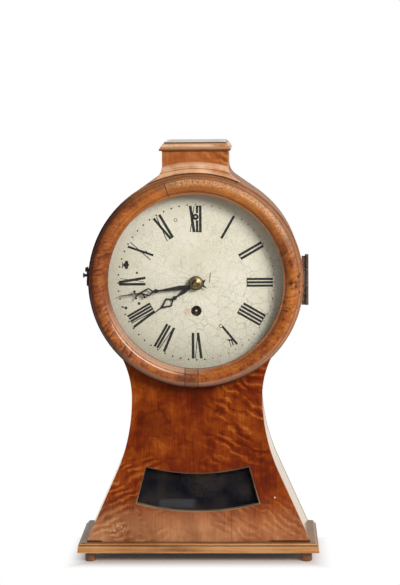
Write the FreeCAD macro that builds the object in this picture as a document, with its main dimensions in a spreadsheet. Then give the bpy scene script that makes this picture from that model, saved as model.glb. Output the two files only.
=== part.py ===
import FreeCAD, Part
import math
import operator
import os
import Sketcher

# A spring-driven table clock with a waisted case, a round glazed bezel and a pendulum.
# Millimetres, +Z up, the front faces -Y, the origin is under the middle of the clock.
# Levels are heights above the surface that the feet stand on.

SIZES = [
    # case outline
    ("case_height", 520),
    ("case_depth", 110),
    ("base_width", 278),
    ("flare_width", 197),
    ("flare_level", 116),
    ("waist_width", 160.6),
    ("waist_level", 207),
    ("drum_radius", 130),
    ("drum_level", 351),
    ("drum_join_angle", 43),
    ("neck_width", 80),
    ("neck_slope", 35),
    ("neck_hollow", 19),
    ("front_board", 8),
    ("side_board", 7),
    ("back_board", 8),
    # feet and plinth
    ("foot_height", 13),
    ("foot_radius", 6.5),
    ("foot_edge", 1.2),
    ("foot_inset", 15),
    ("plinth_height", 12),
    ("plinth_projection", 11),
    ("fascia_height", 8.5),
    ("fascia_lean", 0.8),
    ("fascia_ledge", 1.8),
    # cap
    ("cap_height", 10.5),
    ("cap_projection", 3.5),
    ("cap_core_inset", 6),
    ("cap_round", 1.2),
    ("cap_band", 1.4),
    ("cap_ledge", 1),
    ("cap_slope", 5),
    ("cap_edge", 1.2),
    # hollow moulding over the bezel
    ("hollow_gap", 1),
    ("hollow_width", 13),
    ("hollow_rise", 12),
    ("hollow_fillet", 4.5),
    ("hollow_groove", 1.5),
    ("hollow_foot", 1),
    # bezel
    ("bezel_radius", 131.3),
    ("bezel_depth", 25.5),
    ("bezel_gap", 0.5),
    ("bezel_rim", 9),
    ("bezel_step", 2.6),
    ("bezel_round_start", 13),
    ("bezel_lip", 2.6),
    ("bezel_lip_depth", 18),
    ("opening_radius", 107),
    ("glass_rebate", 4),
    ("glass_thickness", 2),
    ("glass_level", 7.5),
    ("glass_bead_height", 3),
    ("glass_bead_width", 4),
    # bezel hinge on the right
    ("hinge_length", 60),
    ("hinge_leaf_height", 40),
    ("hinge_leaf_width", 13),
    ("hinge_leaf_thickness", 1.2),
    ("hinge_knuckle_radius", 2.2),
    ("hinge_pin_radius", 1.1),
    ("hinge_pin_head", 2),
    ("hinge_offset", 3.8),
    ("hinge_gap", 0.3),
    # hook and catch on the left
    ("hook_pivot_back", 10),
    ("hook_pivot_rise", 13.5),
    ("hook_reach", 16),
    ("hook_thickness", 1.8),
    ("hook_width", 2.2),
    ("hook_eye_radius", 3.4),
    ("hook_screw_radius", 1.4),
    ("hook_head_radius", 2.8),
    ("hook_head_height", 1.6),
    ("hook_bed", 1.4),
    ("hook_screw_depth", 6),
    ("hook_latch_angle", 70),
    ("catch_radius", 1.7),
    ("catch_room", 0.4),
    ("catch_depth", 5),
    # window
    ("window_top_radius", 240.3),
    ("window_bottom_radius", 287.7),
    ("window_half_angle", 15.3),
    ("window_lining", 1.2),
    ("window_lap", 6),
    # back
    ("door_width", 104),
    ("door_low_level", 60),
    ("door_top_level", 440),
    ("door_thickness", 6),
    ("door_gap", 1.5),
    ("door_pin_radius", 2),
    ("door_pin_length", 16),
    ("door_pin_inset", 4),
    ("button_length", 30),
    ("button_width", 9),
    ("button_thickness", 2.4),
    ("button_air", 0.2),
    ("button_screw_radius", 1.5),
    ("button_head_radius", 3),
    ("button_head_height", 1.4),
    ("button_offset", 6.2),
    ("button_level", 250),
    # dial and hands
    ("dial_drop", 2.6),
    ("dial_radius", 111),
    ("dial_hole_gap", 1.5),
    ("dial_thickness", 1.2),
    ("dial_recess", 4),
    ("winding_hole_radius", 6.5),
    ("regulator_hole_radius", 3.2),
    ("dial_foot_radius", 2.6),
    ("dial_rivet_radius", 1.8),
    ("dial_foot_upper_side", 24.4),
    ("dial_foot_upper_rise", 76.8),
    ("dial_foot_lower_side", 29.9),
    ("dial_foot_lower_drop", 53.8),
    ("minute_length", 96),
    ("minute_angle", 262.3),
    ("minute_aside", 3),
    ("hour_length", 69.5),
    ("hour_angle", 234.4),
    ("hand_thickness", 1.1),
    ("hand_hub_radius", 8),
    ("hand_leaf_width", 5.4),
    ("hand_knot_radius", 2.9),
    ("hour_kite_width", 12.5),
    ("minute_kite_width", 10.7),
    ("hand_strip", 1.8),
    ("hand_needle_width", 1.6),
    ("tail_root_width", 7),
    ("tail_width", 11.4),
    ("tail_length", 12.6),
    ("tail_notch_length", 9),
    ("crescent_width", 12.5),
    ("crescent_height", 5.4),
    ("crescent_thickness", 1.6),
    ("crescent_knob_radius", 1.4),
    ("hand_stud_radius", 1.6),
    ("hand_stud_length", 3),
    ("hour_hand_air", 1.5),
    ("minute_hand_air", 2.2),
    ("collet_radius", 8.8),
    ("collet_height", 3.2),
    ("collet_edge", 0.9),
    ("collet_seat", 0.2),
    ("arbor_nose", 1),
    # seat of the movement
    ("seat_thickness", 8),
    ("seat_level", 270),
    ("seat_front_air", 8),
    ("seat_depth", 54),
    ("bearer_width", 16),
    ("bearer_height", 12),
    ("bearer_side", 66),
    # plates
    ("plate_width", 92),
    ("plate_thickness", 2.5),
    ("plate_room", 40),
    ("plate_top_margin", 9),
    ("motion_room", 12.8),
    ("pillar_radius", 4),
    ("pillar_tenon", 2.4),
    ("pillar_inset", 9),
    # arbors and running clearance
    ("running_gap", 0.06),
    ("end_gap", 0.5),
    ("pivot_radius", 1),
    ("centre_arbor_radius", 2),
    ("centre_nose_radius", 1.6),
    ("cannon_pipe_radius", 2.6),
    ("hour_pipe_radius", 4),
    ("stud_radius", 1.3),
    ("minute_stud_angle", 140),
    ("third_arbor_radius", 1.4),
    # going train
    ("great_module", 0.727),
    ("centre_module", 0.6),
    ("third_module", 0.5),
    ("minute_module", 0.6),
    ("hour_module", 0.576),
    ("wheel_thickness", 2),
    ("pinion_length", 5),
    ("centre_wheel_back", 2),
    ("third_wheel_back", 10.5),
    ("escape_wheel_back", 20.5),
    ("escape_radius", 16),
    ("escape_tooth", 3),
    ("escape_tip", 0.3),
    ("escape_rise", 27.6),
    # barrel and winding
    ("barrel_radius", 27.5),
    ("barrel_wall", 1.6),
    ("barrel_cap_thickness", 1.5),
    ("barrel_back", 7),
    ("barrel_length", 25.5),
    ("winding_arbor_radius", 4),
    ("winding_pivot_radius", 3),
    ("winding_square", 4.4),
    ("winding_square_recess", 1.5),
    ("spring_strip", 0.5),
    ("ratchet_radius", 11),
    ("ratchet_depth", 1.6),
    ("ratchet_thickness", 2),
    ("ratchet_air", 0.8),
    ("click_side", 19),
    ("click_drop", 0.5),
    ("click_boss", 2.8),
    ("click_width", 3),
    ("click_nose", 0.5),
    ("click_nose_angle", 25),
    ("click_nose_radius", 10.1),
    ("click_spring_thickness", 0.7),
    ("click_spring_length", 13),
    ("click_spring_foot", 4),
    ("click_spring_air", 0.3),
    # pallets, pendulum and regulator
    ("pallet_rise", 24),
    ("pallet_air", 0.25),
    ("pallet_nib", 0.6),
    ("pallet_half_angle", 48),
    ("pallet_arm", 3),
    ("pallet_nib_length", 3),
    ("crutch_back", 2),
    ("crutch_thickness", 1.5),
    ("crutch_width", 3),
    ("crutch_length", 55),
    ("crutch_fork", 4),
    ("crutch_prong", 1.2),
    ("crutch_room", 0.3),
    ("cock_reach", 11),
    ("cock_bridge", 3),
    ("cock_half_width", 16),
    ("cock_foot_width", 8),
    ("cock_below", 6),
    ("cock_above", 13),
    ("stud_half_width", 4),
    ("stud_depth", 6),
    ("stud_gap", 1),
    ("stud_slot", 1.7),
    ("stud_slot_height", 9),
    ("suspension_strip", 0.3),
    ("suspension_width", 4),
    ("suspension_above", 8),
    ("suspension_below", 12),
    ("pendulum_length", 307),
    ("rod_radius", 1.5),
    ("rod_tail", 38),
    ("rod_head_radius", 3),
    ("rod_head_height", 6),
    ("bob_radius", 24.5),
    ("bob_thickness", 16),
    ("bob_edge", 3),
    ("nut_radius", 5),
    ("nut_height", 5),
    ("nut_gap", 0.2),
    ("regulator_rise", 80.6),
    ("regulator_radius", 1.8),
    ("regulator_recess", 0.8),
    ("regulator_cam_radius", 5),
    ("regulator_cam_offset", 2),
    ("regulator_cam_air", 0.4),
    ("cut_overrun", 1),
]

# Counts of teeth and turns
GREAT_TEETH = 84
CENTRE_LEAVES = 12
CENTRE_TEETH = 72
THIRD_LEAVES = 8
THIRD_TEETH = 72
ESCAPE_LEAVES = 6
ESCAPE_TEETH = 30
CANNON_LEAVES = 12
MINUTE_TEETH = 36
MINUTE_LEAVES = 10
HOUR_TEETH = 40
RATCHET_TEETH = 24
SPRING_HALF_TURNS = 18
WHEEL_HOLES = 5

# Tooth shape as shares of the module and of the pitch
ADDENDUM_SHARE = 0.75
DEDENDUM_SHARE = 1.05
TOOTH_TIP_SHARE = 0.14
TOOTH_ROOT_SHARE = 0.4

# Points along a hand as shares of its length:
# leaf at its widest, leaf end, knot, kite start, kite at its widest, kite end
HOUR_SHARES = (0.25, 0.42, 0.46, 0.5, 0.59, 0.76)
MINUTE_SHARES = (0.22, 0.48, 0.52, 0.555, 0.61, 0.74)
CRESCENT_SHARE = 0.729
STUD_SHARE = 0.792

doc = FreeCAD.newDocument("table_clock")
sheet = doc.addObject("Spreadsheet::Sheet", "Sizes")
for row, (alias, number) in enumerate(SIZES, start=1):
    sheet.set(f"A{row}", alias)
    sheet.set(f"B{row}", str(number))
    sheet.setAlias(f"B{row}", alias)
doc.recompute()

OPERATIONS = {"+": operator.add, "-": operator.sub, "*": operator.mul, "/": operator.truediv}


class Size:
    """A number worked out from the sheet, with the expression that gives it."""

    def __init__(self, value, text):
        self.value = value
        self.text = text

    def __add__(self, other):
        return joined(self, "+", other)

    def __sub__(self, other):
        return joined(self, "-", other)

    def __mul__(self, other):
        return joined(self, "*", other)

    def __truediv__(self, other):
        return joined(self, "/", other)

    def __radd__(self, other):
        return joined(other, "+", self)

    def __rsub__(self, other):
        return joined(other, "-", self)

    def __rmul__(self, other):
        return joined(other, "*", self)

    def __neg__(self):
        return Size(-self.value, f"(-{self.text})")


def value_of(item):
    return item.value if isinstance(item, Size) else float(item)


def text_of(item):
    return item.text if isinstance(item, Size) else f"({item})"


def joined(first, sign, second):
    number = OPERATIONS[sign](value_of(first), value_of(second))
    return Size(number, f"({text_of(first)} {sign} {text_of(second)})")


def sine(angle):
    return Size(math.sin(math.radians(value_of(angle))), f"sin({text_of(angle)})")


def cosine(angle):
    return Size(math.cos(math.radians(value_of(angle))), f"cos({text_of(angle)})")


def root(item):
    return Size(math.sqrt(value_of(item)), f"sqrt({text_of(item)})")


class Sheet:
    """Reads one size of the sheet by its alias."""

    def __getattr__(self, alias):
        return Size(float(sheet.get(alias)), f"Sizes.{alias}")


S = Sheet()
pieces = {}


def bind(thing, name, size):
    thing.setExpression(name, text_of(size))


def place(thing, at):
    for axis, size in zip("xyz", at):
        if isinstance(size, Size):
            bind(thing, f"Placement.Base.{axis}", size)


def turn_about(thing, axis, angle):
    """Turns a thing about an axis through its own origin."""
    rotation = FreeCAD.Rotation(FreeCAD.Vector(*axis), value_of(angle))
    thing.Placement = FreeCAD.Placement(FreeCAD.Vector(), rotation)
    if isinstance(angle, Size):
        bind(thing, "Placement.Rotation.Angle", angle)


def keep(label, thing):
    thing.Label = label
    pieces[label] = thing
    return thing


# Outlines: a path is a list of points and a list of bends between them.
# A bend is None for a straight edge, or the radius of an arc and its turn, 1 to the left, -1 to the right.

def path(*steps):
    points = list(steps[0::2])
    bends = list(steps[1::2])
    return points, bends


def mirrored(shape):
    points = [(-x, y) for x, y in shape[0]]
    bends = [bend and (bend[0], -bend[1]) for bend in shape[1]]
    return points, bends


def backwards(shape):
    bends = [bend and (bend[0], -bend[1]) for bend in reversed(shape[1])]
    return list(reversed(shape[0])), bends


def chain(*shapes):
    points = []
    bends = []
    for shape in shapes:
        if points:
            bends.append(None)
        points += shape[0]
        bends += shape[1]
    return points, bends


def tangent_radius(start, end):
    """Radius of the arc that leaves start straight upwards or downwards and meets end."""
    across = end[0] - start[0]
    along = end[1] - start[1]
    return (across * across + along * along) / (2 * across)


def crown_radius(across, rise):
    """Radius of the arc that is level at its crown and falls by a rise over a half width."""
    return (across * across + rise * rise) / (2 * rise)


def arc_between(first, last, radius, turn):
    middle = (first + last) / 2
    half = (last - first) / 2
    away = math.sqrt(max(radius * radius - half.Length ** 2, 0))
    left = FreeCAD.Vector(-half.y, half.x, 0).normalize()
    centre = middle + left * (away * turn)
    start, end = (first, last) if turn > 0 else (last, first)
    angles = [math.atan2(p.y - centre.y, p.x - centre.x) for p in (start, end)]
    return Part.ArcOfCircle(Part.Circle(centre, FreeCAD.Vector(0, 0, 1), radius), *angles)


def draw_circle(sketch, centre, radius):
    middle = FreeCAD.Vector(value_of(centre[0]), value_of(centre[1]), 0)
    index = sketch.addGeometry(Part.Circle(middle, FreeCAD.Vector(0, 0, 1), value_of(radius)))
    limits = [("DistanceX", (index, 3), centre[0]), ("DistanceY", (index, 3), centre[1]),
              ("Radius", (index,), radius)]
    lock(sketch, limits)


def lock(sketch, limits):
    for kind, where, size in limits:
        number = sketch.addConstraint(Sketcher.Constraint(kind, *where, value_of(size)))
        if isinstance(size, Size):
            bind(sketch, f"Constraints[{number}]", size)


def draw_loop(sketch, shape):
    """Draws a closed path, with every corner and radius held by the sheet."""
    points, bends = shape
    bends = list(bends) + [None] * (len(points) - len(bends))
    spots = [FreeCAD.Vector(value_of(x), value_of(y), 0) for x, y in points]
    edges = []
    for index, bend in enumerate(bends):
        first = spots[index]
        last = spots[(index + 1) % len(spots)]
        if bend is None:
            edges.append((sketch.addGeometry(Part.LineSegment(first, last)), 1, 2))
        else:
            arc = arc_between(first, last, value_of(bend[0]), bend[1])
            ends = (1, 2) if bend[1] > 0 else (2, 1)
            edges.append((sketch.addGeometry(arc), *ends))
    meets = []
    for index, (edge, start, _) in enumerate(edges):
        before, _, end = edges[index - 1]
        meets.append(Sketcher.Constraint("Coincident", before, end, edge, start))
    sketch.addConstraint(meets)
    limits = []
    for (edge, start, _), (x, y), bend in zip(edges, points, bends):
        limits.append(("DistanceX", (edge, start), x))
        limits.append(("DistanceY", (edge, start), y))
        if bend is not None:
            limits.append(("Radius", (edge,), bend[0]))
    lock(sketch, limits)


def new_sketch(label, plane, loops, circles):
    body = doc.addObject("PartDesign::Body", label)
    body.AllowCompound = True
    sketch = body.newObject("Sketcher::SketchObject", label + "_sketch")
    support = [item for item in body.Origin.OriginFeatures if item.Role == plane][0]
    sketch.AttachmentSupport = [(support, "")]
    sketch.MapMode = "FlatFace"
    for loop in loops:
        draw_loop(sketch, loop)
    for centre, radius in circles:
        draw_circle(sketch, centre, radius)
    return body, sketch


def pad(label, plane, loops, length, at, circles=()):
    """A board or plate: outlines on a plane, padded along its normal."""
    body, sketch = new_sketch(label, plane, loops, circles)
    feature = body.newObject("PartDesign::Pad", label + "_pad")
    feature.Profile = sketch
    bind(feature, "Length", length)
    place(body, at)
    return body


def turned(label, plane, loop, at):
    """A turned piece: a half profile turned about the plane's upright axis."""
    body, sketch = new_sketch(label, plane, [loop], ())
    feature = body.newObject("PartDesign::Revolution", label + "_turning")
    feature.Profile = sketch
    feature.ReferenceAxis = (sketch, ["V_Axis"])
    feature.Angle = 360
    place(body, at)
    return body


TURNS = {"x": ((0, 1, 0), 90), "y": ((1, 0, 0), -90), "z": ((0, 0, 1), 0)}


def cylinder(label, radius, length, at, axis):
    thing = doc.addObject("Part::Cylinder", label)
    turn_about(thing, *TURNS[axis])
    bind(thing, "Radius", radius)
    bind(thing, "Height", length)
    place(thing, at)
    return thing


def box(label, extent, at):
    thing = doc.addObject("Part::Box", label)
    for name, size in zip(("Length", "Width", "Height"), extent):
        bind(thing, name, size)
    place(thing, at)
    return thing


def cut(label, base, *tools):
    for index, tool in enumerate(tools):
        result = doc.addObject("Part::Cut", f"{label}_cut_{index}")
        result.Base = base
        result.Tool = tool
        base = result
    return base


def fuse(label, *things):
    result = doc.addObject("Part::MultiFuse", label + "_fused")
    result.Shapes = list(things)
    return result


def common(label, *things):
    result = doc.addObject("Part::MultiCommon", label + "_common")
    result.Shapes = list(things)
    return result


def group(label, *things):
    result = doc.addObject("Part::Compound", label + "_group")
    result.Links = list(things)
    return result


# Places that many pieces share
bezel_reach = S.bezel_gap + S.bezel_depth
button_proud = S.button_air + S.button_thickness + S.button_head_height
whole_depth = bezel_reach + S.case_depth + button_proud
front_y = bezel_reach - whole_depth / 2
panel_back_y = front_y + S.front_board
rear_y = front_y + S.case_depth
back_inner_y = rear_y - S.back_board
inner_depth = S.case_depth - S.front_board - S.back_board
case_level = S.foot_height + S.plinth_height
cap_level = S.case_height - S.cap_height
dial_level = S.drum_level - S.dial_drop
escape_level = dial_level + S.escape_rise
pallet_level = escape_level + S.pallet_rise
bob_level = pallet_level - S.pendulum_length
rod_low = bob_level - S.rod_tail
bezel_back_y = front_y - S.bezel_gap
bezel_front_y = bezel_back_y - S.bezel_depth
dial_front_y = front_y + S.dial_recess
dial_back_y = dial_front_y + S.dial_thickness
plate_front_y = dial_back_y + S.motion_room
room_front_y = plate_front_y + S.plate_thickness
room_back_y = room_front_y + S.plate_room
plate_back_y = room_back_y + S.plate_thickness
seat_top = S.seat_level + S.seat_thickness
regulator_level = dial_level + S.regulator_rise
plate_top = regulator_level + S.plate_top_margin
barrel_level = dial_level - S.great_module * (GREAT_TEETH + CENTRE_LEAVES) / 2
pendulum_y = plate_back_y + S.cock_reach + S.cock_bridge + S.stud_gap + S.stud_depth / 2
third_reach = S.centre_module * (CENTRE_TEETH + THIRD_LEAVES) / 2
escape_reach = S.third_module * (THIRD_TEETH + ESCAPE_LEAVES) / 2
third_rise = (third_reach * third_reach - escape_reach * escape_reach + S.escape_rise * S.escape_rise) / (
    2 * S.escape_rise)
third_side = root(third_reach * third_reach - third_rise * third_rise)


def shoulder_line(inset):
    """Drum shoulder, end of the slope and foot of the neck, moved inwards by an inset."""
    radius = S.drum_radius - inset
    shoulder = (radius * sine(S.neck_slope), S.drum_level + radius * cosine(S.neck_slope))
    hollow = S.neck_hollow + inset
    neck = S.neck_width / 2 - inset
    slope_end_x = neck + hollow * (1 - sine(S.neck_slope))
    climb = (shoulder[0] - slope_end_x) * sine(S.neck_slope) / cosine(S.neck_slope)
    slope_end = (slope_end_x, shoulder[1] + climb)
    neck_foot = (neck, slope_end[1] + hollow * cosine(S.neck_slope))
    return shoulder, slope_end, neck_foot


def case_side(inset):
    """Right half of the case outline from plinth to cap, moved inwards by an inset."""
    foot = (S.base_width / 2 - inset, case_level)
    flare = (S.flare_width / 2 - inset, S.flare_level)
    waist = (S.waist_width / 2 - inset, S.waist_level)
    radius = S.drum_radius - inset
    join = (radius * cosine(S.drum_join_angle), S.drum_level - radius * sine(S.drum_join_angle))
    hollow = S.neck_hollow + inset
    shoulder, slope_end, neck_foot = shoulder_line(inset)
    neck_top = (neck_foot[0], cap_level)
    lower = path(foot, None, flare, (tangent_radius(waist, flare), -1), waist,
                 (tangent_radius(waist, join), -1), join)
    upper = path(join, (radius, 1), shoulder, None, slope_end, (hollow, -1), neck_foot, None, neck_top)
    return lower, upper


def whole_outline():
    lower, upper = case_side(0)
    right = (lower[0][:-1] + upper[0], lower[1] + upper[1])
    return chain(right, backwards(mirrored(right)))


# Feet: four short turned stubs
def make_feet():
    stubs = []
    for side in (-1, 1):
        for index, y in enumerate((front_y - S.plinth_projection + S.foot_inset, rear_y - S.foot_inset)):
            profile = path((0, 0), None, (S.foot_radius - S.foot_edge, 0), None,
                           (S.foot_radius, S.foot_edge), None, (S.foot_radius, S.foot_height), None,
                           (0, S.foot_height))
            x = side * (S.base_width / 2 + S.plinth_projection - S.foot_inset)
            stubs.append(turned(f"foot_{side + 1}_{index}", "XZ_Plane", profile, (x, y, 0)))
    keep("feet", group("feet", *stubs))


def mitre_tool(label, corner_x, corner_y, level, height, side, outer, reach):
    """Block whose face lies on the 45 degree mitre at one front corner."""
    half = reach * root(2) / 2
    block = doc.addObject("Part::Box", label)
    turn_about(block, (0, 0, 1), -45 * side)
    bind(block, "Length", 2 * reach)
    bind(block, "Width", reach)
    bind(block, "Height", height + 2 * S.cut_overrun)
    along_x = corner_x - half
    along_y = corner_y + side * half
    if not outer:
        along_x = along_x - side * half
        along_y = along_y - half
    place(block, (along_x, along_y, level - S.cut_overrun))
    return block


def mitred_moulding(name, profile, width, projection, half, inner_y, level, height):
    """Front and side lengths of one moulding, mitred at the front corners."""
    reach = 4 * projection
    front_profile = mirrored(profile)
    front = pad(name + "_front", "YZ_Plane", [front_profile], 2 * (half + projection),
                (-half - projection, inner_y, level))
    tools = [mitre_tool(f"{name}_front_mitre_{side + 1}", side * half, inner_y, level, height,
                        side, True, reach)
             for side in (-1, 1)]
    lengths = {"front": cut(name + "_front", front, *tools)}
    for word, side in (("left", -1), ("right", 1)):
        shape = profile if side > 0 else mirrored(profile)
        length = rear_y - inner_y + projection
        strip = pad(f"{name}_{word}", "XZ_Plane", [shape], length, (side * half, rear_y, level))
        tool = mitre_tool(f"{name}_{word}_mitre", side * half, inner_y, level, height, side, False, reach)
        lengths[word] = cut(f"{name}_{word}", strip, tool)
    return lengths


# Plinth: a base board with a moulding mitred round its front and sides
def make_plinth():
    half = S.base_width / 2
    board = box("base_board_block", (S.base_width, rear_y - front_y, S.plinth_height),
                (-half, front_y, S.foot_height))
    keep("base_board", board)
    out = S.plinth_projection
    ovolo = S.plinth_height - S.fascia_height
    ledge = out - S.fascia_lean - S.fascia_ledge
    profile = path((0, 0), None, (out, 0), None, (out - S.fascia_lean, S.fascia_height), None,
                   (ledge, S.fascia_height), (ovolo, 1), (ledge - ovolo, S.plinth_height), None,
                   (0, S.plinth_height))
    lengths = mitred_moulding("plinth", profile, S.base_width, out, half, front_y, S.foot_height,
                              S.plinth_height)
    for word, piece in lengths.items():
        keep(f"plinth_{word}_moulding", piece)


# Cap: a core board with a moulding mitred round its front and sides
def make_cap():
    half = S.neck_width / 2 - S.cap_core_inset
    inner_y = front_y + S.cap_core_inset
    board = box("cap_board_block", (2 * half, rear_y - inner_y, S.cap_height), (-half, inner_y, cap_level))
    keep("cap_board", board)
    out = S.cap_core_inset + S.cap_projection
    band_top = S.cap_round + S.cap_band
    shoulder = out - S.cap_ledge
    edge_level = S.cap_height - S.cap_edge
    profile = path((0, 0), None, (out - S.cap_round, 0), (S.cap_round, 1), (out, S.cap_round), None,
                   (out, band_top), None, (shoulder, band_top),
                   (edge_level, 1), (shoulder - S.cap_slope, edge_level), None,
                   (shoulder - S.cap_slope, S.cap_height), None, (0, S.cap_height))
    lengths = mitred_moulding("cap", profile, S.neck_width, out, half, inner_y, cap_level, S.cap_height)
    keep("cap_moulding", group("cap_moulding", *lengths.values()))


def window_loop(margin):
    """Ring sector about the drum's centre, grown by a margin."""
    inner = S.window_top_radius - margin
    outer = S.window_bottom_radius + margin
    sideways = margin * cosine(S.window_half_angle)
    corners = []
    for radius in (inner, outer):
        x = radius * sine(S.window_half_angle) + sideways
        corners.append((x, S.drum_level - root(radius * radius - x * x)))
    top, bottom = corners
    return path((-top[0], top[1]), (inner, 1), top, None, bottom, (outer, -1), (-bottom[0], bottom[1]))


# Front panel: one board from plinth to cap, with the dial opening and the window
def make_front_panel():
    dial_hole = S.dial_radius + S.dial_hole_gap
    panel = pad("front_panel_body", "XZ_Plane", [whole_outline(), window_loop(S.window_lining)],
                S.front_board, (0, panel_back_y, 0), circles=[((0, S.drum_level), dial_hole)])
    keep("front_panel", panel)


# Window: a thin lining in the cut-out and a pane behind the panel
def make_window():
    lining = pad("window_lining_body", "XZ_Plane", [window_loop(S.window_lining), window_loop(0)],
                 S.front_board, (0, panel_back_y, 0))
    keep("window_lining", lining)
    pane = pad("window_glass_body", "XZ_Plane", [window_loop(S.window_lap)], S.glass_thickness,
               (0, panel_back_y + S.glass_thickness, 0))
    keep("window_glass", pane)


# Places of the hook: its pivot on the drum's left side, and the catch on the bezel's rim
hook_y = front_y + S.hook_pivot_back
hook_z = S.drum_level + S.hook_pivot_rise
hook_inner_x = -S.bezel_radius - S.hook_bed
hook_outer_x = hook_inner_x - S.hook_thickness
catch_outer_x = hook_outer_x - S.hook_bed
catch_y = hook_y - S.hook_reach * sine(S.hook_latch_angle)
catch_z = hook_z - S.hook_reach * cosine(S.hook_latch_angle)


def latch_shank(label):
    wall_x = -root(S.bezel_radius * S.bezel_radius - S.hook_pivot_rise * S.hook_pivot_rise)
    start = hook_outer_x - S.running_gap
    length = wall_x + S.hook_screw_depth - start
    return cylinder(label, S.hook_screw_radius, length, (start, hook_y, hook_z), "x")


def catch_shank(label):
    inner_x = -S.bezel_radius + S.catch_depth
    return cylinder(label, S.catch_radius, inner_x - catch_outer_x, (catch_outer_x, catch_y, catch_z), "x")


# Sides: the waist, and the drum that runs on into the neck
def make_sides():
    outer_lower, outer_upper = case_side(0)
    inner_lower, inner_upper = case_side(S.side_board)
    for part, outer, inner in (("waist", outer_lower, inner_lower), ("drum", outer_upper, inner_upper)):
        loop = chain(outer, backwards(inner))
        for word, shape in (("right", loop), ("left", mirrored(loop))):
            label = f"{part}_{word}_side"
            side = pad(label + "_body", "XZ_Plane", [shape], inner_depth, (0, back_inner_y, 0))
            if label == "drum_left_side":
                side = cut(label, side, latch_shank("latch_screw_hole"))
            keep(label, side)


# Hollow moulding that carries the neck's front down to the bezel
def make_hollow():
    inner = S.bezel_radius + S.hollow_gap
    outer = inner + S.hollow_width
    groove = inner + S.hollow_fillet
    start = groove + S.hollow_groove
    top = -S.hollow_rise
    profile = path((inner, 0), None, (outer, 0), None, (outer, -S.hollow_foot),
                   (S.hollow_rise, -1), (start, top + S.hollow_foot), None,
                   (groove, top + S.hollow_groove), None, (groove, top), None, (inner, top))
    ring = turned("hollow_ring", "XY_Plane", profile, (0, front_y, S.drum_level))
    _, upper = case_side(0)
    shoulder = (upper[0][1:], upper[1][1:])
    region = pad("hollow_region", "XZ_Plane", [chain(shoulder, backwards(mirrored(shoulder)))],
                 2 * S.hollow_rise, (0, front_y + S.cut_overrun, 0))
    keep("neck_hollow_moulding", common("neck_hollow_moulding", ring, region))


# Back: a panel with a door that turns on two pins, and its turn button
def make_back():
    half = S.door_width / 2
    opening = path((-half, S.door_low_level), None, (half, S.door_low_level), None,
                   (half, S.door_top_level), None, (-half, S.door_top_level))
    panel = pad("back_panel_body", "XZ_Plane", [whole_outline(), opening], S.back_board, (0, rear_y, 0))
    door_x = half - S.door_gap - S.door_pin_inset
    door_y = rear_y - S.door_thickness / 2
    low = S.door_low_level + S.door_gap
    top = S.door_top_level - S.door_gap
    leaf = box("back_door_leaf", (S.door_width - 2 * S.door_gap, S.door_thickness, top - low),
               (-half + S.door_gap, rear_y - S.door_thickness, low))
    pins = []
    sockets = []
    for index, middle in enumerate((S.door_low_level + S.door_gap / 2, S.door_top_level - S.door_gap / 2)):
        at = (door_x, door_y, middle - S.door_pin_length / 2)
        pins.append(cylinder(f"door_pin_{index}", S.door_pin_radius, S.door_pin_length, at, "z"))
        deep = (door_x, door_y, at[2] - S.end_gap)
        sockets.append(cylinder(f"door_socket_{index}", S.door_pin_radius + S.running_gap,
                                S.door_pin_length + 2 * S.end_gap, deep, "z"))
    keep("back_door", cut("back_door", leaf, *pins))
    keep("door_pins", group("door_pins", *pins))
    button_x = -half - S.button_offset
    button_y = rear_y + S.button_air
    bar = box("turn_button_bar", (S.button_width, S.button_thickness, S.button_length),
              (button_x - S.button_width / 2, button_y, S.button_level - S.button_length / 2))
    hole = cylinder("turn_button_hole", S.button_screw_radius + S.running_gap,
                    S.button_thickness + 2 * S.cut_overrun,
                    (button_x, button_y - S.cut_overrun, S.button_level), "y")
    keep("turn_button", cut("turn_button", bar, hole))
    shank_length = S.back_board / 2 + S.button_air + S.button_thickness
    shank_at = (button_x, rear_y - S.back_board / 2, S.button_level)
    shank = cylinder("turn_button_shank", S.button_screw_radius, shank_length, shank_at, "y")
    screw_hole = cylinder("turn_button_screw_hole", S.button_screw_radius, shank_length, shank_at, "y")
    keep("back_panel", cut("back_panel", panel, screw_hole, *sockets))
    head = cylinder("turn_button_head", S.button_head_radius, S.button_head_height,
                    (button_x, button_y + S.button_thickness, S.button_level), "y")
    keep("turn_button_screw", fuse("turn_button_screw", shank, head))


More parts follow.
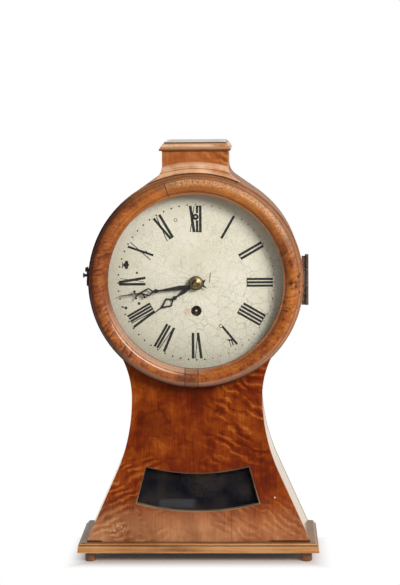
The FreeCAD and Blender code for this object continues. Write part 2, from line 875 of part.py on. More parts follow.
# Bezel: a turned ring with a round nose, a rebate for the glass and a bead behind it
def make_bezel():
    outer = S.bezel_radius
    nose_outer = outer - S.bezel_step
    nose_inner = S.opening_radius + S.bezel_lip
    rebate = S.opening_radius + S.glass_rebate
    glass_front = -S.glass_level - S.glass_thickness
    nose_half = (nose_outer - nose_inner) / 2
    profile = path((outer, 0), None, (rebate, 0), None, (rebate, glass_front), None,
                   (S.opening_radius, glass_front), None, (S.opening_radius, -S.bezel_lip_depth), None,
                   (nose_inner, -S.bezel_lip_depth),
                   (crown_radius(nose_half, S.bezel_depth - S.bezel_lip_depth), 1),
                   (nose_inner + nose_half, -S.bezel_depth),
                   (crown_radius(nose_half, S.bezel_depth - S.bezel_round_start), 1),
                   (nose_outer, -S.bezel_round_start), None,
                   (nose_outer, -S.bezel_rim), None, (outer, -S.bezel_rim))
    at = (0, bezel_back_y, S.drum_level)
    ring = turned("bezel_ring_body", "XY_Plane", backwards(profile), at)
    keep("bezel_ring", cut("bezel_ring", ring, catch_shank("catch_hole")))
    pane_radius = rebate - S.end_gap
    pane = cylinder("bezel_pane", pane_radius, S.glass_thickness,
                    (0, bezel_back_y + glass_front, S.drum_level), "y")
    keep("bezel_glass", pane)
    bead_inner = rebate - S.glass_bead_width
    bead = path((bead_inner, -S.glass_level), None, (rebate, -S.glass_level), None,
                (rebate, -S.glass_level + S.glass_bead_height), None,
                (bead_inner + S.glass_bead_height / 2, -S.glass_level + S.glass_bead_height), None,
                (bead_inner, -S.glass_level + S.glass_bead_height / 2))
    keep("glass_bead", turned("glass_bead_body", "XY_Plane", bead, at))


def hinge_leaf(label, radius, back_y, front_edge_y, knuckles, axis_x, axis_y):
    """Thin plate bent round the drum or the bezel, with its share of the knuckles."""
    low = S.drum_level - S.hinge_leaf_height / 2
    shell = cylinder(label + "_outside", radius + S.hinge_leaf_thickness, back_y - front_edge_y,
                     (0, front_edge_y, S.drum_level), "y")
    core = cylinder(label + "_core", radius, back_y - front_edge_y + 2 * S.cut_overrun,
                    (0, front_edge_y - S.cut_overrun, S.drum_level), "y")
    field = box(label + "_field", (radius, back_y - front_edge_y, S.hinge_leaf_height),
                (radius / 2, front_edge_y, low))
    plate = common(label, cut(label, shell, core), field)
    solids = [plate]
    for index, (bottom, height) in enumerate(knuckles):
        solids.append(cylinder(f"{label}_knuckle_{index}", S.hinge_knuckle_radius, height,
                               (axis_x, axis_y, bottom), "z"))
    return fuse(label, *solids)


# Hinge of the bezel: a leaf on the drum, a leaf on the bezel's rim, and a pin
def make_hinge():
    axis_x = S.bezel_radius + S.hinge_offset
    axis_y = bezel_back_y + S.bezel_gap / 2
    low = S.drum_level - S.hinge_length / 2
    third = S.hinge_length / 3
    fixed = [(low, third - S.hinge_gap), (low + 2 * third + S.hinge_gap, third - S.hinge_gap)]
    moving = [(low + third, third)]
    web = S.hinge_knuckle_radius
    leaf = hinge_leaf("hinge_fixed_leaf", S.drum_radius, front_y + S.hinge_leaf_width, front_y, fixed, axis_x,
                      axis_y)
    webs = []
    for index, (bottom, height) in enumerate(fixed):
        webs.append(box(f"hinge_fixed_web_{index}", (axis_x - S.drum_radius, S.hinge_leaf_thickness, height),
                        (S.drum_radius - web / 2, front_y, bottom)))
    keep("hinge_fixed_leaf", bored_leaf("hinge_fixed_leaf", leaf, webs, S.drum_radius, axis_x, axis_y))
    leaf = hinge_leaf("hinge_moving_leaf", S.bezel_radius, bezel_back_y, bezel_back_y - S.bezel_rim, moving,
                      axis_x, axis_y)
    webs = [box("hinge_moving_web", (axis_x - S.bezel_radius, S.hinge_leaf_thickness, third),
                (S.bezel_radius, bezel_back_y - S.hinge_leaf_thickness, low + third))]
    keep("hinge_moving_leaf", bored_leaf("hinge_moving_leaf", leaf, webs, S.bezel_radius, axis_x, axis_y))
    shaft = cylinder("hinge_pin_shaft", S.hinge_pin_radius, S.hinge_length, (axis_x, axis_y, low), "z")
    head = cylinder("hinge_pin_head", S.hinge_knuckle_radius, S.hinge_pin_head,
                    (axis_x, axis_y, low + S.hinge_length), "z")
    keep("hinge_pin", fuse("hinge_pin", shaft, head))


def bored_leaf(label, leaf, webs, radius, axis_x, axis_y):
    """Joins a leaf to its knuckles and clears the wood and the pin again."""
    solid = fuse(label + "_webbed", leaf, *webs)
    bore = cylinder(label + "_pin_room", S.hinge_pin_radius + S.running_gap,
                    S.hinge_length + 2 * S.cut_overrun,
                    (axis_x, axis_y, S.drum_level - S.hinge_length / 2 - S.cut_overrun), "z")
    wood = cylinder(label + "_wood", radius, S.case_depth, (0, front_y - S.bezel_depth, S.drum_level), "y")
    return cut(label + "_clear", solid, bore, wood)


# Hook on the drum's left side, its screw, and the catch pin on the bezel's rim
def make_latch():
    end_z = hook_z - S.hook_reach
    ring_inner = S.catch_radius + S.catch_room
    ring_outer = ring_inner + S.hook_width
    deep = S.hook_thickness + 2 * S.cut_overrun
    clear_x = hook_outer_x - S.cut_overrun
    eye = cylinder("hook_eye", S.hook_eye_radius, S.hook_thickness, (hook_outer_x, hook_y, hook_z), "x")
    arm = box("hook_arm", (S.hook_thickness, S.hook_width, S.hook_reach - ring_inner),
              (hook_outer_x, hook_y - S.hook_width / 2, end_z + ring_inner))
    bow = cylinder("hook_bow", ring_outer, S.hook_thickness, (hook_outer_x, hook_y, end_z), "x")
    mouth = cylinder("hook_mouth", ring_inner, deep, (clear_x, hook_y, end_z), "x")
    open_side = box("hook_open_side", (deep, ring_outer, 2 * ring_inner),
                    (clear_x, hook_y, end_z - ring_inner))
    lower_side = box("hook_lower_side", (deep, ring_outer, ring_outer),
                     (clear_x, hook_y + S.hook_width / 2, end_z))
    solid = fuse("latch_hook", eye, arm, cut("hook_bow", bow, mouth, open_side, lower_side))
    pivot_hole = cylinder("hook_hole", S.hook_screw_radius + S.running_gap, deep,
                          (clear_x, hook_y, hook_z), "x")
    keep("latch_hook", cut("latch_hook", solid, pivot_hole))
    head = cylinder("latch_head", S.hook_head_radius, S.hook_head_height,
                    (hook_outer_x - S.running_gap - S.hook_head_height, hook_y, hook_z), "x")
    keep("latch_screw", fuse("latch_screw", latch_shank("latch_shank"), head))
    knob = cylinder("catch_knob", S.hook_head_radius, S.hook_head_height,
                    (catch_outer_x - S.hook_head_height, catch_y, catch_z), "x")
    keep("latch_catch", fuse("latch_catch", catch_shank("catch_shank"), knob))


# Dial: a painted iron disc on four feet that are riveted through it
def make_dial():
    places = [(side * S.dial_foot_upper_side, dial_level + S.dial_foot_upper_rise) for side in (-1, 1)]
    places += [(side * S.dial_foot_lower_side, dial_level - S.dial_foot_lower_drop) for side in (-1, 1)]
    holes = [((0, dial_level), S.hour_pipe_radius + S.end_gap),
             ((0, barrel_level), S.winding_hole_radius),
             ((0, regulator_level), S.regulator_hole_radius)]
    holes += [(spot, S.dial_rivet_radius) for spot in places]
    plate = pad("dial_plate_body", "XZ_Plane", [], S.dial_thickness, (0, dial_back_y, 0),
                circles=[((0, S.drum_level), S.dial_radius)] + holes)
    keep("dial_plate", plate)
    feet = []
    for index, (x, z) in enumerate(places):
        post = cylinder(f"dial_foot_post_{index}", S.dial_foot_radius, S.motion_room,
                        (x, dial_back_y, z), "y")
        rivet = cylinder(f"dial_foot_rivet_{index}", S.dial_rivet_radius, S.dial_thickness,
                         (x, dial_front_y, z), "y")
        feet.append(fuse(f"dial_foot_{index}", post, rivet))
    keep("dial_feet", group("dial_feet", *feet))


def hand_outline(length, kite_width, shares, aside):
    """Closed edge of a hand that points up: leaf, knot, kite and needle, back to the leaf."""
    widest, leaf_end, knot, kite_start, kite_widest, kite_end = [length * share for share in shares]
    strip = S.hand_strip / 2
    needle = S.hand_needle_width / 2
    edge = [(S.hand_leaf_width / 2, widest), (strip, leaf_end), (S.hand_knot_radius, knot),
            (strip, kite_start), (kite_width / 2, kite_widest), (needle, kite_end), (needle / 2, length)]
    points = []
    for side, run in ((1, edge), (-1, edge[::-1])):
        points += [(side * x - aside, y) for x, y in run]
    roots = []
    for x in (S.hand_strip - aside, -S.hand_strip - aside):
        roots.append((x, root(S.hand_hub_radius * S.hand_hub_radius - x * x)))
    return [roots[0]] + points + [roots[1]]


def kite_hole(length, kite_width, shares, aside):
    start, middle, end = [length * share for share in shares[3:]]
    half = kite_width / 2
    wide = half - S.hand_strip
    low = start + S.hand_strip * (middle - start) / half
    high = end - S.hand_strip * (end - middle) / half
    return path((-wide - aside, middle), None, (-aside, low), None,
                (wide - aside, middle), None, (-aside, high))


def turned_hand(label, loops, back_y, angle, circles=()):
    body = pad(label, "XZ_Plane", loops, S.hand_thickness, (0, back_y, dial_level), circles=circles)
    turn_about(body, (0, 1, 0), angle)
    place(body, (0, back_y, dial_level))
    return body


def hour_piece(back_y):
    """A pierced steel hand that ends in its round hub."""
    edge = hand_outline(S.hour_length, S.hour_kite_width, HOUR_SHARES, 0)
    hub = S.hand_hub_radius
    points = edge + [(0, -hub)]
    bends = [None] * (len(edge) - 1) + [(hub, 1), (hub, 1)]
    hole = kite_hole(S.hour_length, S.hour_kite_width, HOUR_SHARES, 0)
    keep("hour_hand", turned_hand("hour_hand_body", [(points, bends), hole], back_y, S.hour_angle,
                                  circles=[((0, 0), S.hour_pipe_radius)]))


def minute_piece(back_y):
    """A pierced steel hand with a forked tail, a crescent and a small stud beside its needle."""
    length = S.minute_length
    aside = S.minute_aside
    hub = S.hand_hub_radius
    edge = hand_outline(length, S.minute_kite_width, MINUTE_SHARES, aside)
    tail = []
    for side in (-1, 1):
        x = side * S.tail_root_width / 2 - aside / 2
        tail.append((x, -root(hub * hub - x * x)))
    horns = [(side * S.tail_width / 2 - aside, -S.tail_length) for side in (-1, 1)]
    points = edge + [tail[0], horns[0], (-aside, -S.tail_notch_length), horns[1], tail[1]]
    bends = [None] * (len(edge) - 1) + [(hub, 1)] + [None] * 4 + [(hub, 1)]
    hole = kite_hole(length, S.minute_kite_width, MINUTE_SHARES, aside)
    blade = turned_hand("minute_hand_blade", [(points, bends), hole], back_y, S.minute_angle,
                        circles=[((0, 0), S.cannon_pipe_radius)])
    middle = length * CRESCENT_SHARE
    half = S.crescent_width / 2
    rise = S.crescent_height
    thin = S.crescent_thickness
    loop = path((-rise - aside, middle - half), (crown_radius(half, rise), 1),
                (-rise - aside, middle + half), None,
                (-rise - aside, middle + half - thin), (crown_radius(half - thin, rise - thin), -1),
                (-rise - aside, middle - half + thin))
    crescent = turned_hand("minute_hand_crescent", [loop], back_y, S.minute_angle)
    ends = [(-rise - aside, middle + side * (half - thin / 2)) for side in (-1, 1)]
    knobs = turned_hand("minute_hand_knobs", [], back_y, S.minute_angle,
                        circles=[(end, S.crescent_knob_radius) for end in ends])
    level = length * STUD_SHARE
    strip = S.hand_strip / 2
    bar = path((-aside, level - strip), None, (S.hand_stud_length - aside, level - strip), None,
               (S.hand_stud_length - aside, level + strip), None, (-aside, level + strip))
    stem = turned_hand("minute_hand_stem", [bar], back_y, S.minute_angle)
    stud = turned_hand("minute_hand_stud", [], back_y, S.minute_angle,
                       circles=[((S.hand_stud_length - aside, level), S.hand_stud_radius)])
    keep("minute_hand", fuse("minute_hand", blade, crescent, knobs, stem, stud))


# Hands with the domed brass collet that holds them
def make_hands():
    hour_back = dial_front_y - S.hour_hand_air
    minute_back = hour_back - S.hand_thickness - S.minute_hand_air
    hour_piece(hour_back)
    minute_piece(minute_back)
    seat = minute_back - S.hand_thickness - S.collet_seat
    bore = S.centre_nose_radius + S.running_gap
    rise = S.collet_height - S.collet_edge
    dome = crown_radius(S.collet_radius, rise)
    crown = S.collet_edge + rise - dome + root(dome * dome - bore * bore)
    profile = path((bore, 0), None, (bore, -crown), (dome, -1), (S.collet_radius, -S.collet_edge), None,
                   (S.collet_radius, 0))
    keep("hand_collet", turned("hand_collet_body", "XY_Plane", profile, (0, seat, dial_level)))
    return hour_back, minute_back, seat


# Seat: a board on two bearers that reach from the front panel to the back
def make_seat():
    half = S.bearer_side + S.bearer_width
    board = box("seat_board_block", (2 * half, S.seat_depth, S.seat_thickness),
                (-half, panel_back_y + S.seat_front_air, S.seat_level))
    keep("seat_board", board)
    bearers = []
    for side in (-1, 1):
        middle = side * (S.bearer_side + S.bearer_width / 2)
        bearers.append(box(f"seat_bearer_{side + 1}", (S.bearer_width, inner_depth, S.bearer_height),
                           (middle - S.bearer_width / 2, panel_back_y, S.seat_level - S.bearer_height)))
    keep("seat_bearers", group("seat_bearers", *bearers))


def pillar_places():
    low = seat_top + S.pillar_inset
    high = plate_top - S.pillar_inset
    side = S.plate_width / 2 - S.pillar_inset
    return [(x, z) for x in (-side, side) for z in (low, high)]


# Plates: two brass plates on four pillars, bored for the arbors and carrying their studs
def make_plates():
    half = S.plate_width / 2
    frame = path((-half, seat_top), None, (half, seat_top), None, (half, plate_top), None, (-half, plate_top))
    gap = S.running_gap
    tenons = [(spot, S.pillar_tenon + gap) for spot in pillar_places()]
    shared = [((third_side, dial_level + third_rise), S.pivot_radius + gap),
              ((0, escape_level), S.pivot_radius + gap),
              ((0, regulator_level), S.regulator_radius + gap),
              ((0, barrel_level), S.winding_pivot_radius + gap)]
    front_holes = shared + [((0, dial_level), S.centre_arbor_radius + gap),
                            ((0, pallet_level), S.pivot_radius + gap)]
    back_holes = shared + [((0, dial_level), S.pivot_radius + gap), ((0, pallet_level), S.pillar_radius)]
    front = pad("front_plate_body", "XZ_Plane", [frame], S.plate_thickness, (0, room_front_y, 0),
                circles=tenons + front_holes)
    stud_x, stud_z = minute_place()
    minute_stud = cylinder("minute_stud", S.stud_radius, S.motion_room - S.end_gap,
                           (stud_x, dial_back_y + S.end_gap, stud_z), "y")
    click_stud = cylinder("click_stud", S.stud_radius, S.ratchet_air + S.ratchet_thickness + S.end_gap,
                          (S.click_side, plate_front_y - S.ratchet_air - S.ratchet_thickness - S.end_gap,
                           barrel_level - S.click_drop), "y")
    keep("front_plate", fuse("front_plate", front, minute_stud, click_stud))
    back = pad("back_plate_body", "XZ_Plane", [frame], S.plate_thickness, (0, plate_back_y, 0),
               circles=tenons + back_holes)
    keep("back_plate", back)
    pillars = []
    for index, (x, z) in enumerate(pillar_places()):
        shaft = cylinder(f"pillar_shaft_{index}", S.pillar_radius, S.plate_room, (x, room_front_y, z), "y")
        tenon = cylinder(f"pillar_tenon_{index}", S.pillar_tenon, S.plate_room + 2 * S.plate_thickness,
                         (x, plate_front_y, z), "y")
        pillars.append(fuse(f"pillar_{index}", shaft, tenon))
    keep("plate_pillars", group("plate_pillars", *pillars))


def minute_place():
    reach = S.minute_module * (CANNON_LEAVES + MINUTE_TEETH) / 2
    x = reach * cosine(S.minute_stud_angle)
    return x, dial_level + reach * sine(S.minute_stud_angle)


# Toothed wheels turn about an axis along Y and are built round the origin.
# Angles run from +X towards +Z.

def polar(radius, angle, y):
    return FreeCAD.Vector(radius * math.cos(angle), y, radius * math.sin(angle))


def slab(outline, y, thickness):
    face = Part.Face(Part.makePolygon(outline + outline[:1]))
    return face.extrude(FreeCAD.Vector(0, thickness, 0))


def rod(radius, y, length):
    return Part.makeCylinder(radius, length, FreeCAD.Vector(0, y, 0), FreeCAD.Vector(0, 1, 0))


def gear(teeth, module, y, thickness, tooth_angle):
    """Straight-flanked teeth with room to spare, one of them centred on an angle."""
    pitch = 2 * math.pi / teeth
    tip = module * (teeth / 2 + ADDENDUM_SHARE)
    foot = module * (teeth / 2 - DEDENDUM_SHARE)
    outline = []
    for tooth in range(teeth):
        middle = tooth_angle + tooth * pitch
        for share, radius in ((-TOOTH_ROOT_SHARE, foot), (-TOOTH_TIP_SHARE, tip),
                              (TOOTH_TIP_SHARE, tip), (TOOTH_ROOT_SHARE, foot)):
            outline.append(polar(radius, middle + share * pitch / 2, y))
    return slab(outline, y, thickness)


def crossed(wheel, rim, hub, y, thickness):
    """Lightens a wheel with round holes between its rim and its hub."""
    middle = (rim + hub) / 2
    hole = (rim - hub) / 3
    for index in range(WHEEL_HOLES):
        spot = polar(middle, 2 * math.pi * index / WHEEL_HOLES, y)
        wheel = wheel.cut(Part.makeCylinder(hole, thickness, spot, FreeCAD.Vector(0, 1, 0)))
    return wheel


def solid_piece(label, shape, at):
    thing = doc.addObject("Part::Feature", label + "_solid")
    thing.Shape = shape.removeSplitter()
    place(thing, at)
    return keep(label, thing)


def arbor(shape, front, back, pivot_front, pivot_back, radius):
    """Adds an arbor with thinner pivots at both ends."""
    pivot = value_of(S.pivot_radius)
    shape = shape.fuse(rod(radius, front, back - front))
    return shape.fuse(rod(pivot, pivot_front, pivot_back - pivot_front))


def room_ends():
    """Front and back of the space between the plates, less the end shake."""
    shake = value_of(S.end_gap)
    return value_of(room_front_y) + shake, value_of(room_back_y) - shake


# Going train: centre, third and escape wheels on their arbors
def make_train(seat_y):
    front, back = room_ends()
    pivot_front = value_of(plate_front_y)
    pivot_back = value_of(plate_back_y)
    thickness = value_of(S.wheel_thickness)
    leaf = value_of(S.pinion_length)
    up = math.pi / 2
    to_third = math.atan2(value_of(third_rise), value_of(third_side))
    to_escape = math.atan2(value_of(S.escape_rise - third_rise), -value_of(third_side))

    wheel_y = front + value_of(S.centre_wheel_back)
    module = value_of(S.centre_module)
    wheel = gear(CENTRE_TEETH, module, wheel_y, thickness, to_third)
    wheel = crossed(wheel, module * CENTRE_TEETH / 2 - thickness, 2 * thickness, wheel_y, thickness)
    pinion_y = great_y() - (leaf - thickness) / 2
    pinion = gear(CENTRE_LEAVES, value_of(S.great_module), pinion_y, leaf,
                  -up + math.pi / CENTRE_LEAVES)
    nose = value_of(seat_y - S.collet_height - S.arbor_nose)
    shape = wheel.fuse(pinion)
    shape = arbor(shape, front, back, pivot_front, pivot_back, value_of(S.centre_arbor_radius))
    shape = shape.fuse(rod(value_of(S.centre_arbor_radius), pivot_front, front - pivot_front))
    shape = shape.fuse(rod(value_of(S.centre_nose_radius), nose, front - nose))
    solid_piece("centre_wheel", shape, (0, 0, dial_level))

    third_y = front + value_of(S.third_wheel_back)
    module = value_of(S.third_module)
    third = gear(THIRD_TEETH, module, third_y, thickness, to_escape)
    third = crossed(third, module * THIRD_TEETH / 2 - thickness, 2 * thickness, third_y, thickness)
    leaf_y = wheel_y - (leaf - thickness) / 2
    pinion = gear(THIRD_LEAVES, value_of(S.centre_module), leaf_y, leaf,
                  to_third + math.pi + math.pi / THIRD_LEAVES)
    shape = arbor(third.fuse(pinion), front, back, pivot_front, pivot_back, value_of(S.third_arbor_radius))
    solid_piece("third_wheel", shape, (third_side, 0, dial_level + third_rise))

    escape_y = front + value_of(S.escape_wheel_back)
    leaf_y = third_y - (leaf - thickness) / 2
    pinion = gear(ESCAPE_LEAVES, module, leaf_y, leaf, to_escape + math.pi + math.pi / ESCAPE_LEAVES)
    shape = escape_disc(escape_y, thickness).fuse(pinion)
    shape = arbor(shape, front, back, pivot_front, pivot_back, value_of(S.pivot_radius))
    solid_piece("escape_wheel", shape, (0, 0, escape_level))
    return escape_y


def escape_disc(y, thickness):
    """Pointed, leaning teeth: a pallet nib stands a quarter pitch from a tooth."""
    tip = value_of(S.escape_radius)
    foot = tip - value_of(S.escape_tooth)
    half_tip = value_of(S.escape_tip) / 2 / tip
    pitch = 2 * math.pi / ESCAPE_TEETH
    first = math.pi / 2 + math.radians(value_of(S.pallet_half_angle)) + pitch / 4
    outline = []
    for tooth in range(ESCAPE_TEETH):
        middle = first + tooth * pitch
        outline.append(polar(foot, middle - pitch / 8, y))
        outline.append(polar(tip, middle - half_tip, y))
        outline.append(polar(tip, middle + half_tip, y))
        outline.append(polar(foot, middle + pitch / 4, y))
    wheel = slab(outline, y, thickness)
    return crossed(wheel, foot - thickness / 2, 2 * thickness, y, thickness)


def great_y():
    """Front face of the great wheel, at the back end of the barrel."""
    front, _ = room_ends()
    return front + value_of(S.barrel_back + S.barrel_length)


# Barrel: a drum with the great wheel as its back, a cap, the mainspring and the winding arbor
def make_barrel():
    radius = value_of(S.barrel_radius)
    wall = value_of(S.barrel_wall)
    thickness = value_of(S.wheel_thickness)
    length = value_of(S.barrel_length)
    bore = value_of(S.winding_pivot_radius + S.running_gap)
    drum_y = great_y() - length
    wheel = gear(GREAT_TEETH, value_of(S.great_module), great_y(), thickness, math.pi / 2)
    drum = rod(radius, drum_y, length).cut(rod(radius - wall, drum_y, length))
    shape = wheel.fuse(drum).cut(rod(bore, drum_y, length + thickness))
    at = (0, 0, barrel_level)
    solid_piece("barrel", shape, at)
    cap = value_of(S.barrel_cap_thickness)
    lid = rod(radius, drum_y - cap, cap).cut(rod(bore, drum_y - cap, cap))
    solid_piece("barrel_cap", lid, at)
    gap = value_of(S.end_gap)
    solid_piece("mainspring", spring_strip(drum_y + gap, length - 2 * gap), at)
    return drum_y


def spring_strip(y, width):
    """Flat spiral of half circles that grow from the arbor to the drum's wall."""
    thickness = value_of(S.spring_strip)
    inside = value_of(S.winding_arbor_radius + S.running_gap)
    outside = value_of(S.barrel_radius - S.barrel_wall) - thickness
    step = 2 * (outside - inside) / (SPRING_HALF_TURNS + 1)
    first = inside + step / 2
    edges = []
    for edge_radius in (first, first + thickness):
        arcs = []
        for half in range(SPRING_HALF_TURNS):
            radius = edge_radius + half * step / 2
            middle = step / 2 * (half % 2) - step / 2
            sign = 1 if half % 2 == 0 else -1
            ends = [FreeCAD.Vector(middle + sign * radius, y, 0), FreeCAD.Vector(middle, y, sign * radius),
                    FreeCAD.Vector(middle - sign * radius, y, 0)]
            arcs.append(Part.Arc(*ends).toShape())
        edges.append(arcs)
    inner, outer = edges
    start = Part.makeLine(inner[0].Vertexes[0].Point, outer[0].Vertexes[0].Point)
    end = Part.makeLine(inner[-1].Vertexes[-1].Point, outer[-1].Vertexes[-1].Point)
    wire = Part.Wire(Part.__sortEdges__(inner + outer + [start, end]))
    return Part.Face(wire).extrude(FreeCAD.Vector(0, width, 0))


# Winding: the squared arbor with its ratchet wheel, and the click on the front plate
def make_winding(drum_y):
    pivot = value_of(S.winding_pivot_radius)
    cap_front = drum_y - value_of(S.barrel_cap_thickness)
    back = value_of(plate_back_y)
    square_end = value_of(dial_back_y + S.winding_square_recess)
    square_start = value_of(plate_front_y - S.ratchet_air - S.ratchet_thickness)
    shape = rod(pivot, square_start, back - square_start)
    gap = value_of(S.end_gap)
    length = value_of(S.barrel_length)
    shape = shape.fuse(rod(value_of(S.winding_arbor_radius),
                           cap_front + value_of(S.barrel_cap_thickness) + gap, length - 2 * gap))
    side = value_of(S.winding_square)
    corner = FreeCAD.Vector(-side / 2, square_end, -side / 2)
    shape = shape.fuse(Part.makeBox(side, square_start - square_end, side, corner))
    at = (0, 0, barrel_level)
    solid_piece("winding_arbor", shape, at)
    tip = value_of(S.ratchet_radius)
    foot = tip - value_of(S.ratchet_depth)
    thickness = value_of(S.ratchet_thickness)
    pitch = 2 * math.pi / RATCHET_TEETH
    first = math.radians(value_of(S.click_nose_angle)) + pitch / 5
    outline = []
    for tooth in range(RATCHET_TEETH):
        outline.append(polar(foot, first + tooth * pitch, square_start))
        outline.append(polar(tip, first + tooth * pitch, square_start))
    wheel = slab(outline, square_start, thickness).cut(rod(pivot, square_start, thickness))
    solid_piece("ratchet_wheel", wheel, at)


def make_click():
    pivot = (S.click_side, -S.click_drop)
    nose = (S.click_nose_radius * cosine(S.click_nose_angle), S.click_nose_radius * sine(S.click_nose_angle))
    run = (nose[0] - pivot[0], nose[1] - pivot[1])
    length = root(run[0] * run[0] + run[1] * run[1])
    across = (-run[1] / length, run[0] / length)
    wide = S.click_width / 2
    thin = S.click_nose / 2
    outline = path((pivot[0] + across[0] * wide, pivot[1] + across[1] * wide), None,
                   (nose[0] + across[0] * thin, nose[1] + across[1] * thin), None,
                   (nose[0] - across[0] * thin, nose[1] - across[1] * thin), None,
                   (pivot[0] - across[0] * wide, pivot[1] - across[1] * wide))
    back_y = plate_front_y - S.ratchet_air
    arm = pad("click_arm", "XZ_Plane", [outline], S.ratchet_thickness, (0, back_y, barrel_level))
    boss = cylinder("click_boss", S.click_boss, S.ratchet_thickness,
                    (pivot[0], back_y - S.ratchet_thickness, barrel_level + pivot[1]), "y")
    bore = cylinder("click_bore", S.stud_radius + S.running_gap, S.ratchet_thickness + 2 * S.cut_overrun,
                    (pivot[0], back_y - S.ratchet_thickness - S.cut_overrun, barrel_level + pivot[1]), "y")
    keep("click", cut("click", fuse("click", arm, boss), bore))
    spring_x = pivot[0] + S.click_boss + S.click_spring_air
    blade = box("click_spring_blade", (S.click_spring_thickness, S.ratchet_thickness + S.ratchet_air,
                                       S.click_spring_length),
                (spring_x, back_y - S.ratchet_thickness, barrel_level + pivot[1] - S.click_boss))
    foot = box("click_spring_foot",
               (S.click_spring_foot, S.ratchet_thickness + S.ratchet_air, S.click_spring_foot),
               (spring_x, back_y - S.ratchet_thickness,
                barrel_level + pivot[1] - S.click_boss + S.click_spring_length))
    keep("click_spring", fuse("click_spring", blade, foot))


# Motion work between the front plate and the dial
def make_motion_work(hour_back, minute_back):
    thickness = value_of(S.wheel_thickness)
    leaf = value_of(S.pinion_length)
    gap = value_of(S.running_gap)
    shake = value_of(S.end_gap)
    stud_angle = math.radians(value_of(S.minute_stud_angle))
    module = value_of(S.minute_module)
    cannon_y = value_of(plate_front_y) - shake - leaf
    pinion = gear(CANNON_LEAVES, module, cannon_y, leaf, stud_angle)
    pipe_front = value_of(minute_back - S.hand_thickness - S.collet_seat)
    shape = pinion.fuse(rod(value_of(S.cannon_pipe_radius), pipe_front, cannon_y + leaf - pipe_front))
    nose = value_of(S.centre_nose_radius) + gap
    shape = shape.cut(rod(nose, pipe_front, cannon_y + leaf - pipe_front))
    solid_piece("cannon_pinion", shape, (0, 0, dial_level))

    stud_x, stud_z = minute_place()
    wheel_y = cannon_y + leaf - thickness - shake
    wheel = gear(MINUTE_TEETH, module, wheel_y, thickness, stud_angle + math.pi + math.pi / MINUTE_TEETH)
    hour_module = value_of(S.hour_module)
    pinion_front = value_of(dial_back_y) + shake
    pinion = gear(MINUTE_LEAVES, hour_module, pinion_front, wheel_y - pinion_front, stud_angle + math.pi)
    bore = rod(value_of(S.stud_radius) + gap, pinion_front, wheel_y + thickness - pinion_front)
    solid_piece("minute_wheel", wheel.fuse(pinion).cut(bore), (stud_x, 0, stud_z))

    hour_y = cannon_y - shake - thickness
    hour = gear(HOUR_TEETH, hour_module, hour_y, thickness, stud_angle + math.pi / HOUR_TEETH)
    pipe_front = value_of(hour_back - S.hand_thickness)
    pipe = rod(value_of(S.hour_pipe_radius), pipe_front, hour_y + thickness - pipe_front)
    bore = rod(value_of(S.cannon_pipe_radius) + gap, pipe_front, hour_y + thickness - pipe_front)
    solid_piece("hour_wheel", hour.fuse(pipe).cut(bore), (0, 0, dial_level))


# Pallets: an anchor over the escape wheel, its arbor, and the crutch behind the back plate
def make_pallets(escape_y):
    reach = S.escape_radius + S.pallet_air
    outward = (sine(S.pallet_half_angle), cosine(S.pallet_half_angle))
    half = S.pallet_nib / 2

    def beside(distance, aside):
        """Point at a distance from the escape wheel's axis, beside the right nib's own line."""
        x = distance * outward[0] + aside * outward[1]
        z = distance * outward[1] - aside * outward[0] - S.pallet_rise
        return FreeCAD.Vector(value_of(x), escape_y, value_of(z))

    shoulder = reach + S.pallet_nib_length
    right = [beside(shoulder, -half), beside(reach, -half), beside(reach, half),
             beside(shoulder + S.pallet_arm, half)]
    left = [FreeCAD.Vector(-point.x, point.y, point.z) for point in reversed(right)]
    arm = value_of(S.pallet_arm)
    top = [FreeCAD.Vector(side * arm / 2, escape_y, arm) for side in (1, -1)]
    under = [FreeCAD.Vector(0, escape_y, -arm)]
    anchor = doc.addObject("Part::Feature", "pallet_anchor_plate")
    anchor.Shape = slab(under + right + top + left, escape_y, value_of(S.wheel_thickness))
    place(anchor, (0, 0, pallet_level))
    cock_back = plate_back_y + S.cock_reach + S.cock_bridge
    spindle = cylinder("pallet_spindle", S.pivot_radius, cock_back - plate_front_y,
                       (0, plate_front_y, pallet_level), "y")
    crutch_y = plate_back_y + S.crutch_back
    blade = box("crutch_blade", (S.crutch_width, S.crutch_thickness, S.crutch_length + S.crutch_width),
                (-S.crutch_width / 2, crutch_y, pallet_level - S.crutch_length))
    prong_room = S.rod_radius + S.crutch_room
    head = box("crutch_head", (2 * (prong_room + S.crutch_prong), S.crutch_thickness, S.crutch_fork),
               (-prong_room - S.crutch_prong, crutch_y, pallet_level - S.crutch_length))
    prongs = []
    for word, x in (("left", -prong_room - S.crutch_prong), ("right", prong_room)):
        prongs.append(box(f"crutch_{word}_prong",
                          (S.crutch_prong, pendulum_y + S.rod_radius + S.crutch_prong - crutch_y,
                           S.crutch_fork),
                          (x, crutch_y, pallet_level - S.crutch_length)))
    keep("pallet_anchor", fuse("pallet_anchor", anchor, spindle, blade, head, *prongs))


